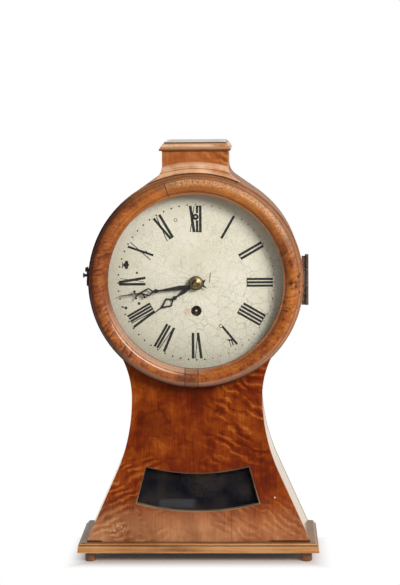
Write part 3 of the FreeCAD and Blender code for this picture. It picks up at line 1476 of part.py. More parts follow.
# Back cock: a bridge for the pallet arbor with the slotted stud that the pendulum hangs from
def make_back_cock():
    half = S.cock_half_width
    low = pallet_level - S.cock_below
    height = S.cock_below + S.cock_above
    bridge_y = plate_back_y + S.cock_reach
    bridge = box("cock_bridge_block", (2 * half, S.cock_bridge, height), (-half, bridge_y, low))
    feet = []
    for side in (-1, 1):
        middle = side * (half - S.cock_foot_width / 2)
        feet.append(box(f"cock_foot_{side + 1}", (S.cock_foot_width, S.cock_reach, height),
                        (middle - S.cock_foot_width / 2, plate_back_y, low)))
    stud_y = bridge_y + S.cock_bridge
    stud_low = pallet_level + S.end_gap
    stud_top = regulator_level - S.regulator_cam_radius - S.regulator_cam_offset - S.regulator_cam_air
    stud = box("cock_stud", (2 * S.stud_half_width, S.stud_gap + S.stud_depth, stud_top - stud_low),
               (-S.stud_half_width, stud_y, stud_low))
    slot = box("cock_slot", (S.stud_slot, S.stud_depth, S.stud_slot_height + S.cut_overrun),
               (-S.stud_slot / 2, stud_y + S.stud_gap, stud_low - S.cut_overrun))
    bore = cylinder("cock_bore", S.pivot_radius + S.running_gap, S.cock_bridge + 2 * S.cut_overrun,
                    (0, bridge_y - S.cut_overrun, pallet_level), "y")
    keep("back_cock", cut("back_cock", fuse("back_cock", bridge, *feet, stud), slot, bore))


# Pendulum: a thin suspension spring, a steel rod, a lens-shaped bob and its rating nut
def make_pendulum():
    strip_low = pallet_level - S.suspension_below
    strip = box("suspension_blade",
                (S.suspension_strip, S.suspension_width, S.suspension_above + S.suspension_below),
                (-S.suspension_strip / 2, pendulum_y - S.suspension_width / 2, strip_low))
    keep("suspension_spring", strip)
    shaft = cylinder("pendulum_shaft", S.rod_radius, strip_low - rod_low, (0, pendulum_y, rod_low), "z")
    head = cylinder("pendulum_head", S.rod_head_radius, S.rod_head_height, (0, pendulum_y, strip_low), "z")
    keep("pendulum_rod", cut("pendulum_rod", fuse("pendulum_rod", shaft, head), strip))
    half = S.bob_thickness / 2
    rim = S.bob_edge / 2
    rise = half - rim
    dome = crown_radius(S.bob_radius, rise)
    profile = path((0, -half), (dome, 1), (S.bob_radius, -rim), None,
                   (S.bob_radius, rim), (dome, 1), (0, half))
    lens = turned("bob_lens", "XY_Plane", profile, (0, pendulum_y, bob_level))
    bore_low = bob_level - S.bob_radius - S.cut_overrun
    bore = cylinder("bob_bore", S.rod_radius + S.running_gap, 2 * (S.bob_radius + S.cut_overrun),
                    (0, pendulum_y, bore_low), "z")
    keep("pendulum_bob", cut("pendulum_bob", lens, bore))
    nut_low = bob_level - S.bob_radius - S.nut_gap - S.nut_height
    disc = cylinder("nut_disc", S.nut_radius, S.nut_height, (0, pendulum_y, nut_low), "z")
    hole = cylinder("nut_hole", S.rod_radius + S.running_gap, S.nut_height + 2 * S.cut_overrun,
                    (0, pendulum_y, nut_low - S.cut_overrun), "z")
    keep("rating_nut", cut("rating_nut", disc, hole))


# Regulator: an arbor from the hole under the XII to a cam over the suspension stud
def make_regulator():
    start = dial_front_y + S.regulator_recess
    end = pendulum_y + S.stud_depth / 2
    shaft = cylinder("regulator_shaft", S.regulator_radius, end - start, (0, start, regulator_level), "y")
    cam = cylinder("regulator_cam", S.regulator_cam_radius, S.stud_depth,
                   (0, end - S.stud_depth, regulator_level - S.regulator_cam_offset), "y")
    keep("regulator_arbor", fuse("regulator_arbor", shaft, cam))


make_feet()
make_plinth()
make_front_panel()
make_window()
make_sides()
make_hollow()
make_back()
make_cap()
make_bezel()
make_hinge()
make_latch()
make_dial()
hour_hand_y, minute_hand_y, collet_y = make_hands()
make_seat()
make_plates()
escape_wheel_y = make_train(collet_y)
barrel_y = make_barrel()
make_winding(barrel_y)
make_click()
make_motion_work(hour_hand_y, minute_hand_y)
make_pallets(escape_wheel_y)
make_back_cock()
make_pendulum()
make_regulator()
doc.recompute()

failed = [thing.Label for thing in doc.Objects if "Invalid" in thing.State or "Error" in thing.State]
for label, thing in pieces.items():
    if thing.Shape.isNull() or not thing.Shape.isValid() or not thing.Shape.Solids:
        failed.append(label)
if failed:
    raise SystemExit("not built: " + ", ".join(failed))

os.makedirs("parts", exist_ok=True)
for label, thing in pieces.items():
    thing.Shape.exportStep(f"parts/{label}.step")
print(len(pieces), "pieces written")
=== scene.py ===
import math

import bpy
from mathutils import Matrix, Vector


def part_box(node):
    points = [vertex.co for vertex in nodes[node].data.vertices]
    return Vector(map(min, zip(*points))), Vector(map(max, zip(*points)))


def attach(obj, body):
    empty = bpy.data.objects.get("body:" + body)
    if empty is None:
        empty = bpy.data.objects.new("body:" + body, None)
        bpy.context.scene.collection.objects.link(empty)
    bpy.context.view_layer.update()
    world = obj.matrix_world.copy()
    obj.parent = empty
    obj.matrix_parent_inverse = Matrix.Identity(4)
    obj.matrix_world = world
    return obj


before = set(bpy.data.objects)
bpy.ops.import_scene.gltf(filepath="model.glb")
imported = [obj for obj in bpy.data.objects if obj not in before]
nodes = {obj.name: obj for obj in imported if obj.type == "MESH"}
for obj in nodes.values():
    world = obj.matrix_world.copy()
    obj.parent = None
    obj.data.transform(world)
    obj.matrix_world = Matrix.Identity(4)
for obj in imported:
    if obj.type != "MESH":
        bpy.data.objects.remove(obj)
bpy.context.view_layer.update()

# Feet: four short round stubs of hardwood, turned on a lathe and glued into the base board.
# They are stained darker than the plinth above them.
MM = 0.001
SIDEWAYS = 0
INWARDS = 1
UPWARDS = 2


def mm(*lengths):
    """Millimetres in metres: a single length, or a tuple of several."""
    metres = tuple(length * MM for length in lengths)
    return metres if len(metres) > 1 else metres[0]


FIBRE_WIDTH = mm(2.2)
FIBRE_LENGTH = mm(90)
FIBRE_DEPTH = mm(0.3)
BAND_WIDTH = mm(11)
BAND_LENGTH = mm(260)
WEAR_SIZE = mm(28)
FOOT_TONES = ((0.08, 0.03, 0.012), (0.2, 0.085, 0.035), (0.34, 0.17, 0.08))


class Shade:
    """One socket of a finish: sums on it add Math nodes, and node() adds any other node."""

    def __init__(self, tree, socket=None):
        self.tree = tree
        self.socket = socket

    def node(self, kind, settings, sockets, output=0):
        made = self.tree.nodes.new(kind)
        for name, setting in settings.items():
            if name == "stops":
                steps = made.color_ramp.elements
                for step, (at, colour) in zip(steps, (setting[0], setting[-1])):
                    step.position = at
                    step.color = (*colour, 1)
                for at, colour in setting[1:-1]:
                    steps.new(at).color = (*colour, 1)
            else:
                setattr(made, name, setting)
        for name, value in sockets.items():
            if isinstance(value, Shade):
                self.tree.links.new(value.socket, made.inputs[name])
            else:
                made.inputs[name].default_value = value
        return Shade(self.tree, made.outputs[output])

    def math(self, operation, *values):
        return self.node("ShaderNodeMath", {"operation": operation}, dict(enumerate(values)))

    def __add__(self, other):
        return self.math("ADD", self, other)

    def __radd__(self, other):
        return self.math("ADD", other, self)

    def __sub__(self, other):
        return self.math("SUBTRACT", self, other)

    def __rsub__(self, other):
        return self.math("SUBTRACT", other, self)

    def __mul__(self, other):
        return self.math("MULTIPLY", self, other)

    def __rmul__(self, other):
        return self.math("MULTIPLY", other, self)

    def __truediv__(self, other):
        return self.math("DIVIDE", self, other)

    def __pow__(self, other):
        return self.math("POWER", self, other)

    def __abs__(self):
        return self.math("ABSOLUTE", self)


def place_on(material):
    """The place on a piece, in metres."""
    return Shade(material.node_tree).node("ShaderNodeTexCoord", {}, {}, "Object")


def new_finish(name, constants):
    """A material with its fixed values, and the place on the piece."""
    material = bpy.data.materials.new(name)
    material.use_nodes = True
    shader = material.node_tree.nodes["Principled BSDF"]
    for socket, value in constants.items():
        shader.inputs[socket].default_value = value
    return material, place_on(material)


def feed(material, sockets):
    shader = material.node_tree.nodes["Principled BSDF"]
    for name, shade in sockets.items():
        material.node_tree.links.new(shade.socket, shader.inputs[name])


def spread(place, lengths, turn=0):
    """Place measured in the lengths of a pattern, one for all axes or one for each, turned in the front."""
    if isinstance(lengths, float):
        lengths = [lengths] * 3
    return place.node("ShaderNodeMapping", {"vector_type": "TEXTURE"},
                      {"Vector": place, "Scale": lengths, "Rotation": (0, turn, 0)})


def noise(place, lengths, detail=3, roughness=0.5, distortion=0, turn=0):
    return place.node("ShaderNodeTexNoise", {}, {
        "Vector": spread(place, lengths, turn), "Scale": 1, "Detail": detail,
        "Roughness": roughness, "Distortion": distortion})


def tones(value, stops, colours):
    return value.node("ShaderNodeValToRGB", {"stops": list(zip(stops, colours))}, {"Fac": value})


def relief(height, strength, depth):
    return height.node("ShaderNodeBump", {}, {"Strength": strength, "Distance": depth, "Height": height})


def straight_wood(name, lengthwise, colours, gloss):
    """Plain wood in three tones, whose fibres run along one axis."""
    material, place = new_finish(name, {"Specular IOR Level": 0.4})
    fine = [FIBRE_WIDTH] * 3
    broad = [BAND_WIDTH] * 3
    fine[lengthwise] = FIBRE_LENGTH
    broad[lengthwise] = BAND_LENGTH
    fibres = noise(place, fine, 4, 0.6)
    bands = noise(place, broad, 3, 0.5, 0.6)
    worn = noise(place, WEAR_SIZE, 4, 0.6)
    figure = fibres * 0.45 + bands * 0.4 + worn * 0.15
    feed(material, {
        "Base Color": tones(figure, (0.34, 0.5, 0.66), colours),
        "Roughness": gloss + worn * 0.25,
        "Normal": relief(fibres, 0.25, FIBRE_DEPTH)})
    return material


def dress(material, *names):
    for name in names:
        nodes[name].material_slots[0].material = material


dress(straight_wood("turned_foot_wood", UPWARDS, FOOT_TONES, 0.3), "feet")

# Plinth: a softwood base board with an ovolo and fascia moulding planed in lengths,
# mitred at the front corners and glued on. Painted shade darkens its quirk and its top edge under the panel.
OLD_PINE = ((0.060, 0.028, 0.011), (0.12, 0.058, 0.024), (0.20, 0.106, 0.048))
PLINTH_TONES = ((0.185, 0.066, 0.019), (0.47, 0.212, 0.074), (0.68, 0.385, 0.168))
RUBBED_PLINTH = (0.50, 0.27, 0.11)
QUIRK_SHADE = (0.035, 0.012, 0.005)
TOP_EDGE_SHADE = (0.06, 0.02, 0.008)
RUBBED_SIZE = mm(60)
QUIRK_LEVEL = mm(8.9)
QUIRK_WIDTH = mm(0.9, 0.2)
QUIRK_WANDER = mm(1.2)
WANDER_SIZE = mm(40)
TOP_EDGE_SHADE_SPAN = mm(-1.6, -0.2)


def axis(place, letter):
    return place.node("ShaderNodeSeparateXYZ", {}, {"Vector": place}, letter)


def rise(value, start, end):
    """Nothing up to start, all of it from end on, smooth between."""
    return value.node("ShaderNodeMapRange", {"interpolation_type": "SMOOTHSTEP"},
                      {0: value, 1: start, 2: end, 3: 0, 4: 1})


def band(value, middle, widths):
    """Nothing further from the middle than the first width, all of it within the second."""
    return rise(abs(value - middle), *widths)


def sway(pattern, amount):
    """A pattern as a swing to both sides."""
    return (pattern - 0.5) * amount


def blend(share, under, over):
    under, over = [(*c, 1) if isinstance(c, tuple) else c for c in (under, over)]
    return share.node("ShaderNodeMix", {"data_type": "RGBA"}, {0: share, 6: under, 7: over}, 2)


def layered(colour, *layers):
    """Lays thin colours over one another, each with its share."""
    for share, over in layers:
        colour = blend(share, colour, over)
    return colour


def colour_so_far(material):
    shader = material.node_tree.nodes["Principled BSDF"]
    return Shade(material.node_tree, shader.inputs["Base Color"].links[0].from_socket)


def moulding_wood(name, lengthwise, low, high):
    """Planed moulding with painted shade in its quirk and along its top edge, rubbed pale in places."""
    material = straight_wood(name, lengthwise, PLINTH_TONES, 0.22)
    place = place_on(material)
    level = axis(place, "Z")
    rubbed = rise(noise(place, RUBBED_SIZE), 0.52, 0.7)
    wander = sway(noise(place, WANDER_SIZE), QUIRK_WANDER)
    # The dark line in the quirk and the dark strip along the top edge, under the panel, are painted shade.
    quirk = band(level + wander, low + QUIRK_LEVEL, QUIRK_WIDTH)
    top_edge_shade = rise(level - high, *TOP_EDGE_SHADE_SPAN)
    feed(material, {"Base Color": layered(colour_so_far(material), (rubbed * 0.5, RUBBED_PLINTH),
                                          (quirk * 0.75, QUIRK_SHADE), (top_edge_shade * 0.7, TOP_EDGE_SHADE))})
    return material


dress(straight_wood("base_pine", SIDEWAYS, OLD_PINE, 0.6), "base_board")
plinth_low, plinth_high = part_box("plinth_front_moulding")
dress(moulding_wood("plinth_front_wood", SIDEWAYS, plinth_low.z, plinth_high.z), "plinth_front_moulding")
dress(moulding_wood("plinth_side_wood", INWARDS, plinth_low.z, plinth_high.z),
      "plinth_left_moulding", "plinth_right_moulding")

# Front panel: one board from plinth to cap under a sheet of figured birch veneer, stained orange brown
# and varnished. The figure curls on both sides, the foot is rubbed pale, and a seam and chips show; the slits
# along the foot are painted shade.
PANEL_TONES = ((0.070, 0.009, 0.002), (0.147, 0.018, 0.003), (0.272, 0.050, 0.004), (0.47, 0.15, 0.028))
RUBBED_TONES = ((0.235, 0.08, 0.03), (0.45, 0.198, 0.087), (0.63, 0.335, 0.165))
NECK_TONES = ((0.22, 0.05, 0.010), (0.42, 0.13, 0.032), (0.60, 0.26, 0.09))
SEAM_DIRT = (0.05, 0.014, 0.005)
SLIT_SHADE = (0.02, 0.006, 0.003)
BARE_BIRCH = (0.85, 0.66, 0.44)
PANEL_CLOUDS = mm(60, 60, 80)
PANEL_MOTTLE = mm(15)
PANEL_STREAKS = mm(1.5, 1.5, 34)
VENEER_DEPTH = mm(0.35)
WARP_SIZE = mm(34, 34, 24)
WARP_TURN = 16
BREAK_SIZE = mm(26, 26, 11)
BREAK_LEAN = math.radians(24)

# Each curl in the figure: where it comes in across and up the panel, its least and its added strength,
# its lean in degrees and the length of its waves.
CURLS = [
    (mm(-10, 34), mm(105, 140), 0.1, 1, 28, mm(11)),
    (mm(0, 40), mm(100, 60), 0, 0.65, 36, mm(9)),
    (mm(-30, -60), mm(150, 120), 0, 1, -24, mm(9)),
]
RIGHT_EDGE = mm(62, 84)
RIGHT_EDGE_FOOT = mm(110, 150)
LEFT_EDGE = mm(-46, -66)
LEFT_EDGE_LEVEL = mm(115)
LEFT_EDGE_HEIGHT = mm(45, 15)
BLOT = mm(-54, 176)
BLOT_EDGE = mm(32, 6)
BLOT_SWAY = mm(50)
RUBBED_LEVEL = mm(84, 38)
RUBBED_SWAY = mm(30)
RUBBED_LESS = mm(10, 70)
NECK_FOOT = mm(468, 490)
SEAM_PLACE = mm(42)
SEAM_WIDTH = mm(0.5, 0.15)
SEAM_SWAY = mm(1.5)
SEAM_TOP = mm(62, 58)
LEFT_SLIT = mm(-117, -122)
RIGHT_SLIT = mm(84, 92)
SLIT_TOP = mm(27.0, 26.2)
CHIPS = mm(-101, 41)
CHIPS_WIDTH = mm(14, 6)
CHIPS_HEIGHT = mm(8, 3)
CHIP_SPACING = mm(3.6)
SPECK = mm(95.3, 80.8)
SPECK_EDGE = mm(1.2, 0.8)


def larger(one, other):
    return one.math("MAXIMUM", one, other)


def reach(across, up):
    """Distance from the point where both are nothing."""
    return (across * across + up * up) ** 0.5


def spots(place, spacing):
    """Distance from the middle of scattered spots."""
    return place.node("ShaderNodeTexVoronoi", {"feature": "F1"},
                      {"Vector": spread(place, spacing), "Scale": 1})


def curl_waves(lean, length):
    """Waves that cross the grain at an angle and bend with the warp of the figure."""
    along = across * math.sin(lean) + level * math.cos(lean)
    phase = along * (math.tau / length) + warp * WARP_TURN
    return phase.math("SINE", phase)


veneer, place = new_finish("figured_veneer", {"Specular IOR Level": 0.08, "Coat Roughness": 0.15})
across = axis(place, "X")
level = axis(place, "Z")
clouds = noise(place, PANEL_CLOUDS, 3, 0.55, 0.4)
mottle = noise(place, PANEL_MOTTLE, 4, 0.62, 0.8)
streaks = noise(place, PANEL_STREAKS, 4, 0.65)
warp = noise(place, WARP_SIZE, 3, 0.55, 0.5)
broken = rise(noise(place, BREAK_SIZE, 3, 0.5, 0.6, BREAK_LEAN), 0.42, 0.58)
crest = 0
trough = 0
for side, height, least, added, lean, length in CURLS:
    share = (least + rise(across, *side) * rise(level, *height) * added) * broken
    waves = curl_waves(math.radians(lean), length)
    crest = crest + rise(waves, 0.35, 0.95) * share
    trough = trough + rise(waves, -0.2, -0.9) * share
handled = (rise(across, *RIGHT_EDGE) * rise(level, *RIGHT_EDGE_FOOT)
           + rise(across, *LEFT_EDGE) * band(level, LEFT_EDGE_LEVEL, LEFT_EDGE_HEIGHT))
figure = (clouds * 0.62 + mottle * 0.3 + sway(streaks, 0.24) + crest * 0.13 - trough * 0.09
          + handled * 0.05 + 0.03)
off_blot = reach(across - BLOT[0], level - BLOT[1]) + sway(mottle, BLOT_SWAY)
rubbed = (rise(level + sway(mottle, RUBBED_SWAY), *RUBBED_LEVEL)
          * (1 - rise(across, *RUBBED_LESS) * 0.5))
seam = band(across + sway(mottle, SEAM_SWAY), SEAM_PLACE, SEAM_WIDTH) * rise(level, *SEAM_TOP)
# The slits at the foot of the panel are painted shade in the gap above the plinth.
slit = rise(level, *SLIT_TOP) * (rise(across, *LEFT_SLIT) + rise(across, *RIGHT_SLIT))
chipped = band(across, CHIPS[0], CHIPS_WIDTH) * band(level, CHIPS[1], CHIPS_HEIGHT)
chips = rise(spots(place, CHIP_SPACING), 0.24, 0.17) * chipped
bare = larger(chips, rise(reach(across - SPECK[0], level - SPECK[1]), *SPECK_EDGE))
stained = layered(
    tones(figure, (0.30, 0.44, 0.57, 0.76), PANEL_TONES),
    (rise(off_blot, *BLOT_EDGE) * 0.45, PANEL_TONES[0]),
    (rubbed * 0.85, tones(figure, (0.30, 0.5, 0.68), RUBBED_TONES)),
    (rise(level, *NECK_FOOT) * 0.8, tones(figure, (0.30, 0.5, 0.7), NECK_TONES)),
    (seam * 0.7, SEAM_DIRT),
    (slit * 0.9, SLIT_SHADE),
    (bare, BARE_BIRCH))
height = streaks * 0.4 + mottle * 0.3 + crest * 0.4 - bare * 2 - seam * 1.5
feed(veneer, {
    "Base Color": stained,
    "Roughness": 0.3 + mottle * 0.16 + rubbed * 0.1 + bare * 0.3,
    "Coat Weight": 0.06 - rubbed * 0.05,
    "Normal": relief(height, 0.16, VENEER_DEPTH)})
dress(veneer, "front_panel")

# Sides: thin boards bent round the waist and the drum, veneered with the grain running up the case and
# glued between the front panel and the back. The waist keeps its varnish, and the drum has gone mat.
DRUM_TONES = ((0.12, 0.030, 0.009), (0.23, 0.070, 0.022), (0.35, 0.125, 0.042), (0.50, 0.22, 0.09))
SIDE_STOPS = (0.33, 0.45, 0.56, 0.7)
SIDE_CLOUDS = mm(60, 45, 90)
SIDE_MOTTLE = mm(18)
SIDE_STREAKS = mm(60, 2.6, 80)
SIDE_DEPTH = mm(0.3)
PALER_UP = mm(190, 330)
ROUGHER_UP = mm(150, 260)
VARNISHED_DOWN = mm(240, 130)

side_veneer, place = new_finish("side_veneer", {"Specular IOR Level": 0.1, "Coat Roughness": 0.1,
                                                "Coat IOR": 1.8})
level = axis(place, "Z")
clouds = noise(place, SIDE_CLOUDS, 3, 0.55)
mottle = noise(place, SIDE_MOTTLE, 4, 0.6, 0.6)
streaks = noise(place, SIDE_STREAKS, 4, 0.6)
figure = clouds * 0.45 + mottle * 0.3 + streaks * 0.25
by_waist = tones(figure, SIDE_STOPS, PANEL_TONES)
by_drum = tones(figure, SIDE_STOPS, DRUM_TONES)
feed(side_veneer, {
    "Base Color": blend(rise(level, *PALER_UP), by_waist, by_drum),
    "Roughness": 0.28 + mottle * 0.14 + rise(level, *ROUGHER_UP) * 0.08,
    "Coat Weight": 0.02 + rise(level, *VARNISHED_DOWN) * 0.98,
    "Normal": relief(streaks, 0.08, SIDE_DEPTH)})
dress(side_veneer, "waist_left_side", "waist_right_side", "drum_left_side", "drum_right_side")

# Window: a curved opening low in the panel with a thin lining of bare wood round its edge, darkened
# towards its top with painted shade, and a pane of old glass puttied in behind it. The pane is painted
# near black and partly opaque as painted shade of the dark case inside, and dust lies on it by its lower
# left corner.
LINING_TONES = ((0.10, 0.06, 0.03), (0.2, 0.13, 0.07), (0.34, 0.25, 0.15))
LINING_SHADE = (0.05, 0.024, 0.010)
LINING_SHADE_FOOT = mm(72, 104)
PANE_SHADE_TONES = ((0.007, 0.009, 0.017), (0.044, 0.037, 0.036))
DUST_GREY = (0.075, 0.08, 0.09)
GRIME_AND_SHADE_SIZE = mm(30)
SMEAR = mm(18)
DUST_MIDDLE = mm(-27)
DUST_WIDTH = mm(28, 18)
DUST_TOP = mm(79, 75)
DUST_FOOT = mm(64, 67)
FLECK_SPACING = mm(9)

lining_wood = straight_wood("lining_wood", SIDEWAYS, LINING_TONES, 0.5)
# The upper part of the lining is darkened with painted shade under the top of the opening.
upper = rise(axis(place_on(lining_wood), "Z"), *LINING_SHADE_FOOT)
feed(lining_wood, {"Base Color": blend(upper * 0.75, colour_so_far(lining_wood), LINING_SHADE)})
dress(lining_wood, "window_lining")

window_pane, place = new_finish("window_pane", {"Roughness": 0.06, "Specular IOR Level": 0.06})
across = axis(place, "X")
level = axis(place, "Z")
grime_and_shade = noise(place, GRIME_AND_SHADE_SIZE, 4, 0.65)
smear = sway(grime_and_shade, SMEAR)
dust = (rise(abs(across - DUST_MIDDLE) + smear, *DUST_WIDTH) * rise(level + smear * 0.3, *DUST_TOP)
        * rise(level, *DUST_FOOT))
flecks = rise(spots(place, FLECK_SPACING), 0.09, 0.04)
dusted = dust * (0.02 + grime_and_shade * 0.07) + flecks * 0.4 * grime_and_shade
# The pane's near-black tones and its opacity are painted shade for the dark inside of the case; dust and
# flecks lie over them.
shade_glass = tones(grime_and_shade, (0.38, 0.62), PANE_SHADE_TONES)
feed(window_pane, {
    "Base Color": blend(rise(dusted, 0, 0.07), shade_glass, DUST_GREY),
    "Alpha": 0.30 + grime_and_shade * 0.16 + dusted})
dress(window_pane, "window_glass")

# Cap: a core board with a moulding mitred round its front and sides and glued on. Its flat top is bare, and
# it and the upward faces of the moulding are painted near white as painted light; its nose carries a painted
# highlight, and painted shade lies along its upper and lower edges.
CAP_TONES = ((0.19, 0.066, 0.02), (0.45, 0.195, 0.075), (0.64, 0.37, 0.18))
LIT_CAP_TOP_TONES = ((0.74, 0.68, 0.58), (0.88, 0.84, 0.76), (0.95, 0.93, 0.88))
CAP_NOSE_HIGHLIGHT = (0.80, 0.58, 0.40)
CAP_EDGE_SHADOW = (0.03, 0.012, 0.006)
CAP_UNDER_SHADE = (0.06, 0.018, 0.007)
CAP_TOP_LIGHT = (0.92, 0.89, 0.82)
CAP_LIGHT_NOISE_SIZE = mm(26)
CAP_NOSE = mm(6.4)
CAP_NOSE_WIDTH = mm(2.4, 0.6)
EDGE_SHADOW_FOOT = mm(-1.7, -1.1)
EDGE_SHADOW_TOP = mm(0, -0.3)
UNDER_SHADE_TOP = mm(3.4, 0.8)

cap_wood = straight_wood("cap_front_wood", SIDEWAYS, CAP_TONES, 0.24)
cap_low, cap_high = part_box("cap_moulding")
place = place_on(cap_wood)
level = axis(place, "Z")
above_foot = level - cap_low.z
from_top = level - cap_high.z
# This noise breaks up the painted highlight on the nose and the painted light on the upward faces.
cap_light_noise = noise(place, CAP_LIGHT_NOISE_SIZE, 3, 0.55)
# The pale band round the nose is a painted highlight.
rubbed = band(above_foot, CAP_NOSE, CAP_NOSE_WIDTH) * rise(cap_light_noise, 0.28, 0.5)
# A line of painted shadow runs just under the top board, and painted shade darkens the foot of the moulding.
edge_shadow = rise(from_top, *EDGE_SHADOW_FOOT) * rise(from_top, *EDGE_SHADOW_TOP)
# Faces that look up are painted near white: painted light from above.
facing_up = axis(place.node("ShaderNodeNewGeometry", {}, {}, "Normal"), "Z")
feed(cap_wood, {"Base Color": layered(
    colour_so_far(cap_wood),
    (rubbed * 0.7, CAP_NOSE_HIGHLIGHT),
    (edge_shadow * 0.9, CAP_EDGE_SHADOW),
    (rise(above_foot, *UNDER_SHADE_TOP) * 0.8, CAP_UNDER_SHADE),
    (rise(facing_up, 0.9, 0.98) * (0.75 + cap_light_noise * 0.25), CAP_TOP_LIGHT))})
dress(cap_wood, "cap_moulding")
# The top board's near-white tones are painted light on its top.
dress(straight_wood("cap_top_wood", INWARDS, LIT_CAP_TOP_TONES, 0.5), "cap_board")

# Neck: a hollow moulding, planed to a curve, carries the front of the neck down to the bezel
# in two fillets. It is glued to the panel; a painted highlight lies along its upper cove and painted shade in
# its groove.
HOLLOW_TONES = ((0.34, 0.135, 0.058), (0.67, 0.335, 0.165), (0.85, 0.59, 0.38))
HOLLOW_HIGHLIGHT = (0.62, 0.45, 0.34)
GROOVE_SHADE = (0.10, 0.032, 0.014)
HOLLOW_RADIUS = mm(140)
HOLLOW_FIBRES = mm(70, 1.8, 2.5)
HOLLOW_MOTTLE = mm(17)
HOLLOW_DEPTH = mm(0.3)
GROOVE_RADIUS = mm(137.6)
GROOVE_WIDTH = mm(1.0, 0.3)
HOLLOW_HIGHLIGHT_RADIUS = mm(145)
HOLLOW_HIGHLIGHT_WIDTH = mm(5, 1)
bezel_low, bezel_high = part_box("bezel_ring")
DRUM_LEVEL = (bezel_low.z + bezel_high.z) / 2


def round_centre(place, centre):
    """Across and up from a centre, the distance from it, and the angle clockwise from the top."""
    across = axis(place, "X")
    up = axis(place, "Z") - centre
    return across, up, reach(across, up), across.math("ARCTAN2", across, up)


def vector_of(across, inwards, up):
    return across.node("ShaderNodeCombineXYZ", {}, {"X": across, "Y": inwards, "Z": up})


hollow_wood, place = new_finish("hollow_moulding_wood", {"Specular IOR Level": 0.45, "Coat Roughness": 0.15,
                                                         "Coat Weight": 0.3})
from_centre, bearing = round_centre(place, DRUM_LEVEL)[2:]
straight = vector_of(bearing * HOLLOW_RADIUS, from_centre, axis(place, "Y"))
long_fibres = noise(straight, HOLLOW_FIBRES, 4, 0.6)
mottle = noise(place, HOLLOW_MOTTLE, 4, 0.6)
# A painted highlight along the upper part of the cove, broken by the mottle.
cove_highlight = band(from_centre, HOLLOW_HIGHLIGHT_RADIUS, HOLLOW_HIGHLIGHT_WIDTH) * rise(mottle, 0.35, 0.6)
# The groove is a dark line of painted shade.
groove = band(from_centre, GROOVE_RADIUS, GROOVE_WIDTH)
planed = layered(
    tones(long_fibres * 0.55 + mottle * 0.45, (0.34, 0.5, 0.66), HOLLOW_TONES),
    (cove_highlight * 0.5, HOLLOW_HIGHLIGHT),
    (groove * 0.5, GROOVE_SHADE))
feed(hollow_wood, {
    "Base Color": planed,
    "Roughness": 0.24 + mottle * 0.16,
    "Normal": relief(long_fibres, 0.2, HOLLOW_DEPTH)})
dress(hollow_wood, "neck_hollow_moulding")

# Back: a pine panel with a long door that turns on two steel pins and is held shut by a brass turn button
# on a screw, and the movement's seat board on its bearers. The wood is oiled, and dark with age.
AGED_PINE = ((0.046, 0.021, 0.008), (0.092, 0.044, 0.018), (0.155, 0.08, 0.036))
BRIGHT_STEEL = (0.42, 0.41, 0.40)
DULL_STEEL = (0.22, 0.19, 0.16)
STEEL_GRAIN = mm(0.4, 5, 0.4)
BRIGHT_BRASS = (0.70, 0.49, 0.19)
DULL_BRASS = (0.38, 0.25, 0.09)
BRASS_GRAIN = mm(4, 4, 0.5)
TARNISH_SIZE = mm(7)
TOOL_MARK_DEPTH = mm(0.12)


def aged_metal(name, bright, dull, roughness, grain):
    """Metal with fine tool marks and a tarnish that spreads in patches."""
    material, place = new_finish(name, {"Metallic": 1})
    tarnish = noise(place, TARNISH_SIZE, 5, 0.65)
    marks = noise(place, grain, 3, 0.6)
    feed(material, {
        "Base Color": blend(rise(tarnish, 0.38, 0.68), bright, dull),
        "Roughness": roughness + tarnish * 0.25 + marks * 0.08,
        "Normal": relief(marks * 0.6 + tarnish * 0.4, 0.18, TOOL_MARK_DEPTH)})
    return material


dress(straight_wood("back_pine", UPWARDS, OLD_PINE, 0.55), "back_panel")
dress(straight_wood("door_pine", UPWARDS, AGED_PINE, 0.6), "back_door")
dress(straight_wood("seat_pine", SIDEWAYS, OLD_PINE, 0.6), "seat_board")
dress(straight_wood("bearer_pine", INWARDS, OLD_PINE, 0.6), "seat_bearers")
plain_steel = aged_metal("plain_steel", BRIGHT_STEEL, DULL_STEEL, 0.26, STEEL_GRAIN)
old_brass = aged_metal("old_brass", BRIGHT_BRASS, DULL_BRASS, 0.24, BRASS_GRAIN)
dress(plain_steel, "door_pins", "turn_button_screw")
dress(old_brass, "turn_button")

# Door stops: four thin pine battens pinned to the inside of the panel round its opening, so that no light
# comes in round the closed door. They stand clear of the edge that turns inwards by the pins.
STOP_THICKNESS = mm(3.1)
STOP_AIR = mm(0.1)
STOP_SOFTNESS = mm(0.5)
SIDE_STOP_LAP = mm(3.5)
SIDE_STOP_REACH = mm(6.5)
END_STOP_LAP = mm(4.5)
END_STOP_REACH = mm(7.5)
STOP_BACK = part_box("back_panel")[0].y - STOP_AIR
STOP_FRONT = STOP_BACK - STOP_THICKNESS


def deselect():
    bpy.ops.object.select_all(action="DESELECT")


def join_as(name, made):
    deselect()
    for piece in made:
        piece.select_set(True)
    bpy.context.view_layer.objects.active = made[0]
    if len(made) > 1:
        bpy.ops.object.join()
    made[0].name = name
    made[0].data.name = name
    return made[0]


def fix(piece, material, body):
    """Gives a finished piece its finish and its body."""
    piece.data.materials.clear()
    piece.data.materials.append(material)
    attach(piece, body)


def batten(left, right, foot, top):
    """A planed strip with its edges taken off."""
    deselect()
    bpy.ops.mesh.primitive_cube_add(size=1)
    bpy.ops.object.mode_set(mode="EDIT")
    bpy.ops.transform.resize(value=(right - left, STOP_BACK - STOP_FRONT, top - foot))
    bpy.ops.transform.translate(value=((left + right) / 2, (STOP_FRONT + STOP_BACK) / 2, (foot + top) / 2))
    bpy.ops.mesh.bevel(offset=STOP_SOFTNESS, segments=2)
    bpy.ops.object.mode_set(mode="OBJECT")
    return bpy.context.object


